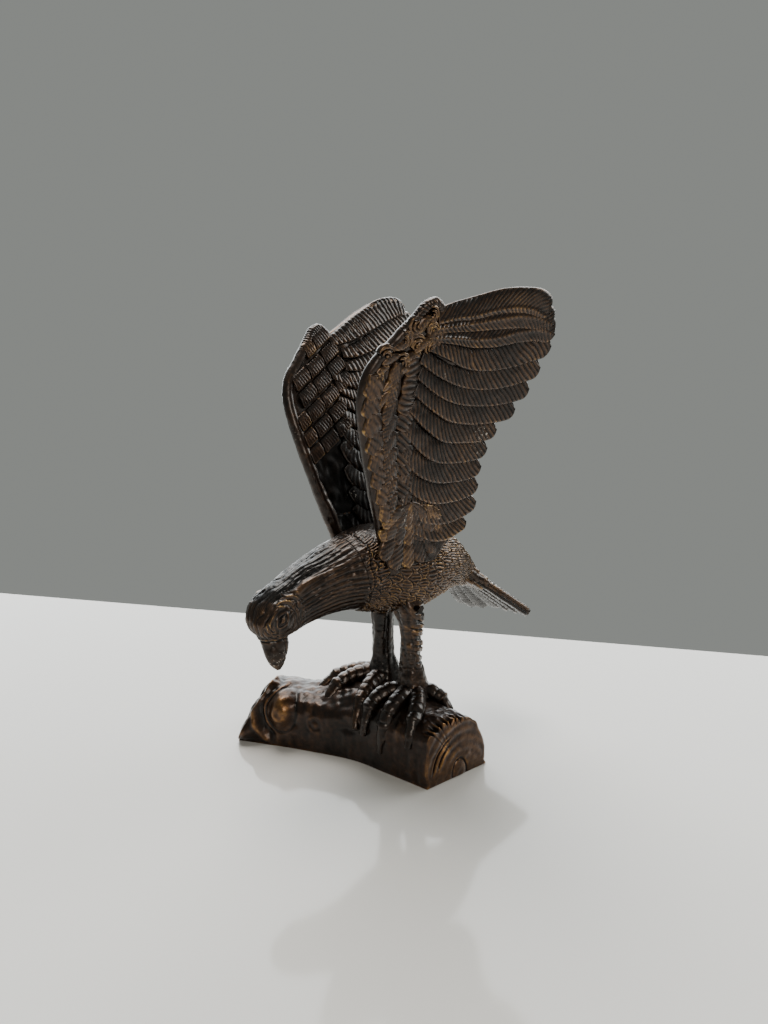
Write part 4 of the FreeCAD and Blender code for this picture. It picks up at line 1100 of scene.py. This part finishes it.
# The cast edge: a thick uneven bar down each side of the fan, on its middle plane.
for side in (1, -1):
    bar = spoke(side * (half_angle - 0.03), ((apex - 2.0, 2.2), (apex + 6, 2.0), (apex + 15, 1.75),
                                             (apex + 24, 1.6), (apex + 31.3, 1.35)))
    path = [(*on_tail(1)(np.array(u), np.array(v), -tail_thick / 2), radius) for u, v, radius in bar]
    rings, a = hoops(smooth_line(path, 110), 40)
    nicks = cut(np.linspace(0, 14, 110)[:, None] + 0.4 * np.sin(a))
    rings = raised(rings, 0.28 * lumps(rings, 3.0, 61) + 0.14 * lumps(rings, 1.1, 62) - 0.22 * nicks)
    shells.append(tube(rings, rubbing(rings)))
casting("tail_fan", shells, bird_bronze, "bird_bronze", "tail")

# ---------------------------------------------------------------------------
# Studio: a pale lacquered bench top, a wide soft window behind and to the
# left, a soft overhead light and a weak fill.
# ---------------------------------------------------------------------------
bench = bpy.data.materials.new("pale_lacquered_board")
bench.use_nodes = True
shader = bench.node_tree.nodes["Principled BSDF"]
mottle = add(bench, "ShaderNodeTexNoise", {"Scale": 3.0})
tint = add(bench, "ShaderNodeValToRGB", stops=[(0.35, "#d6d3ce"), (0.65, "#dedcd8")], Fac=mottle)
bench.node_tree.links.new(tint.outputs["Color"], shader.inputs["Base Color"])
shader.inputs["Roughness"].default_value = 0.09
corners = [(-1.54, -0.96), (-1.02, -1.69), (1.55, 0.15), (1.02, 0.88)]
sheet = bpy.data.meshes.new("bench_top")
sheet.from_pydata([(cx, cy, cz) for cz in (0.0, -0.03) for cx, cy in corners], [],
                  [(0, 1, 2, 3), (7, 6, 5, 4)] + [(i, i + 4, (i + 1) % 4 + 4, (i + 1) % 4) for i in range(4)])
sheet.materials.append(bench)
bench_top = bpy.data.objects.new("bench_top", sheet)
bpy.context.scene.collection.objects.link(bench_top)

world = bpy.data.worlds.new("soft_room")
world.use_nodes = True
world.node_tree.nodes["Background"].inputs["Color"].default_value = linear("#c9cdc8")
world.node_tree.nodes["Background"].inputs["Strength"].default_value = 0.42
bpy.context.scene.world = world


def soft_light(name, place, aim, size, power, colour):
    """A square area light at `place` that faces `aim`."""
    lamp = bpy.data.lights.new(name, "AREA")
    lamp.size, lamp.energy, lamp.color = size, power, linear(colour)[:3]
    light = bpy.data.objects.new(name, lamp)
    light.location = place
    light.rotation_euler = (Vector(aim) - Vector(place)).to_track_quat("-Z", "Y").to_euler()
    bpy.context.scene.collection.objects.link(light)


soft_light("window", (-3.0, 2.0, 2.0), (0, 0, 0.08), 5.0, 330.0, "#eef3f5")
soft_light("rear_window", (0.3, 1.1, 0.7), (0, 0, 0.08), 0.7, 9.0, "#f2f5f3")
soft_light("overhead", (-0.25, 0.1, 0.95), (0, 0, 0.06), 0.45, 6.5, "#fffaf3")
soft_light("fill", (0.8, -0.3, 0.45), (0, 0, 0.08), 0.35, 2.2, "#fff4e6")

# The camera is tipped down and slightly rolled, as if it were held in the hand.
lens = bpy.data.cameras.new("camera")
lens.sensor_width, lens.lens = 36.0, 26.37
camera = bpy.data.objects.new("camera", lens)
pitch, roll = math.radians(11.7), math.radians(1.9)
right, away = np.array([0.5878, 0.8090, 0.0]), np.array([-0.8090, 0.5878, 0.0])
forward = math.cos(pitch) * away - math.sin(pitch) * np.array([0, 0, 1.0])
down = -math.sin(pitch) * away - math.cos(pitch) * np.array([0, 0, 1.0])
local_x = math.cos(roll) * right + math.sin(roll) * down
local_y = math.sin(roll) * right - math.cos(roll) * down
turn = Matrix([[local_x[i], local_y[i], -forward[i]] for i in range(3)])
camera.location = (0.2105, -0.1560, 0.1435)
camera.rotation_mode = "QUATERNION"
camera.rotation_quaternion = turn.to_quaternion()
bpy.context.scene.collection.objects.link(camera)
bpy.context.scene.camera = camera
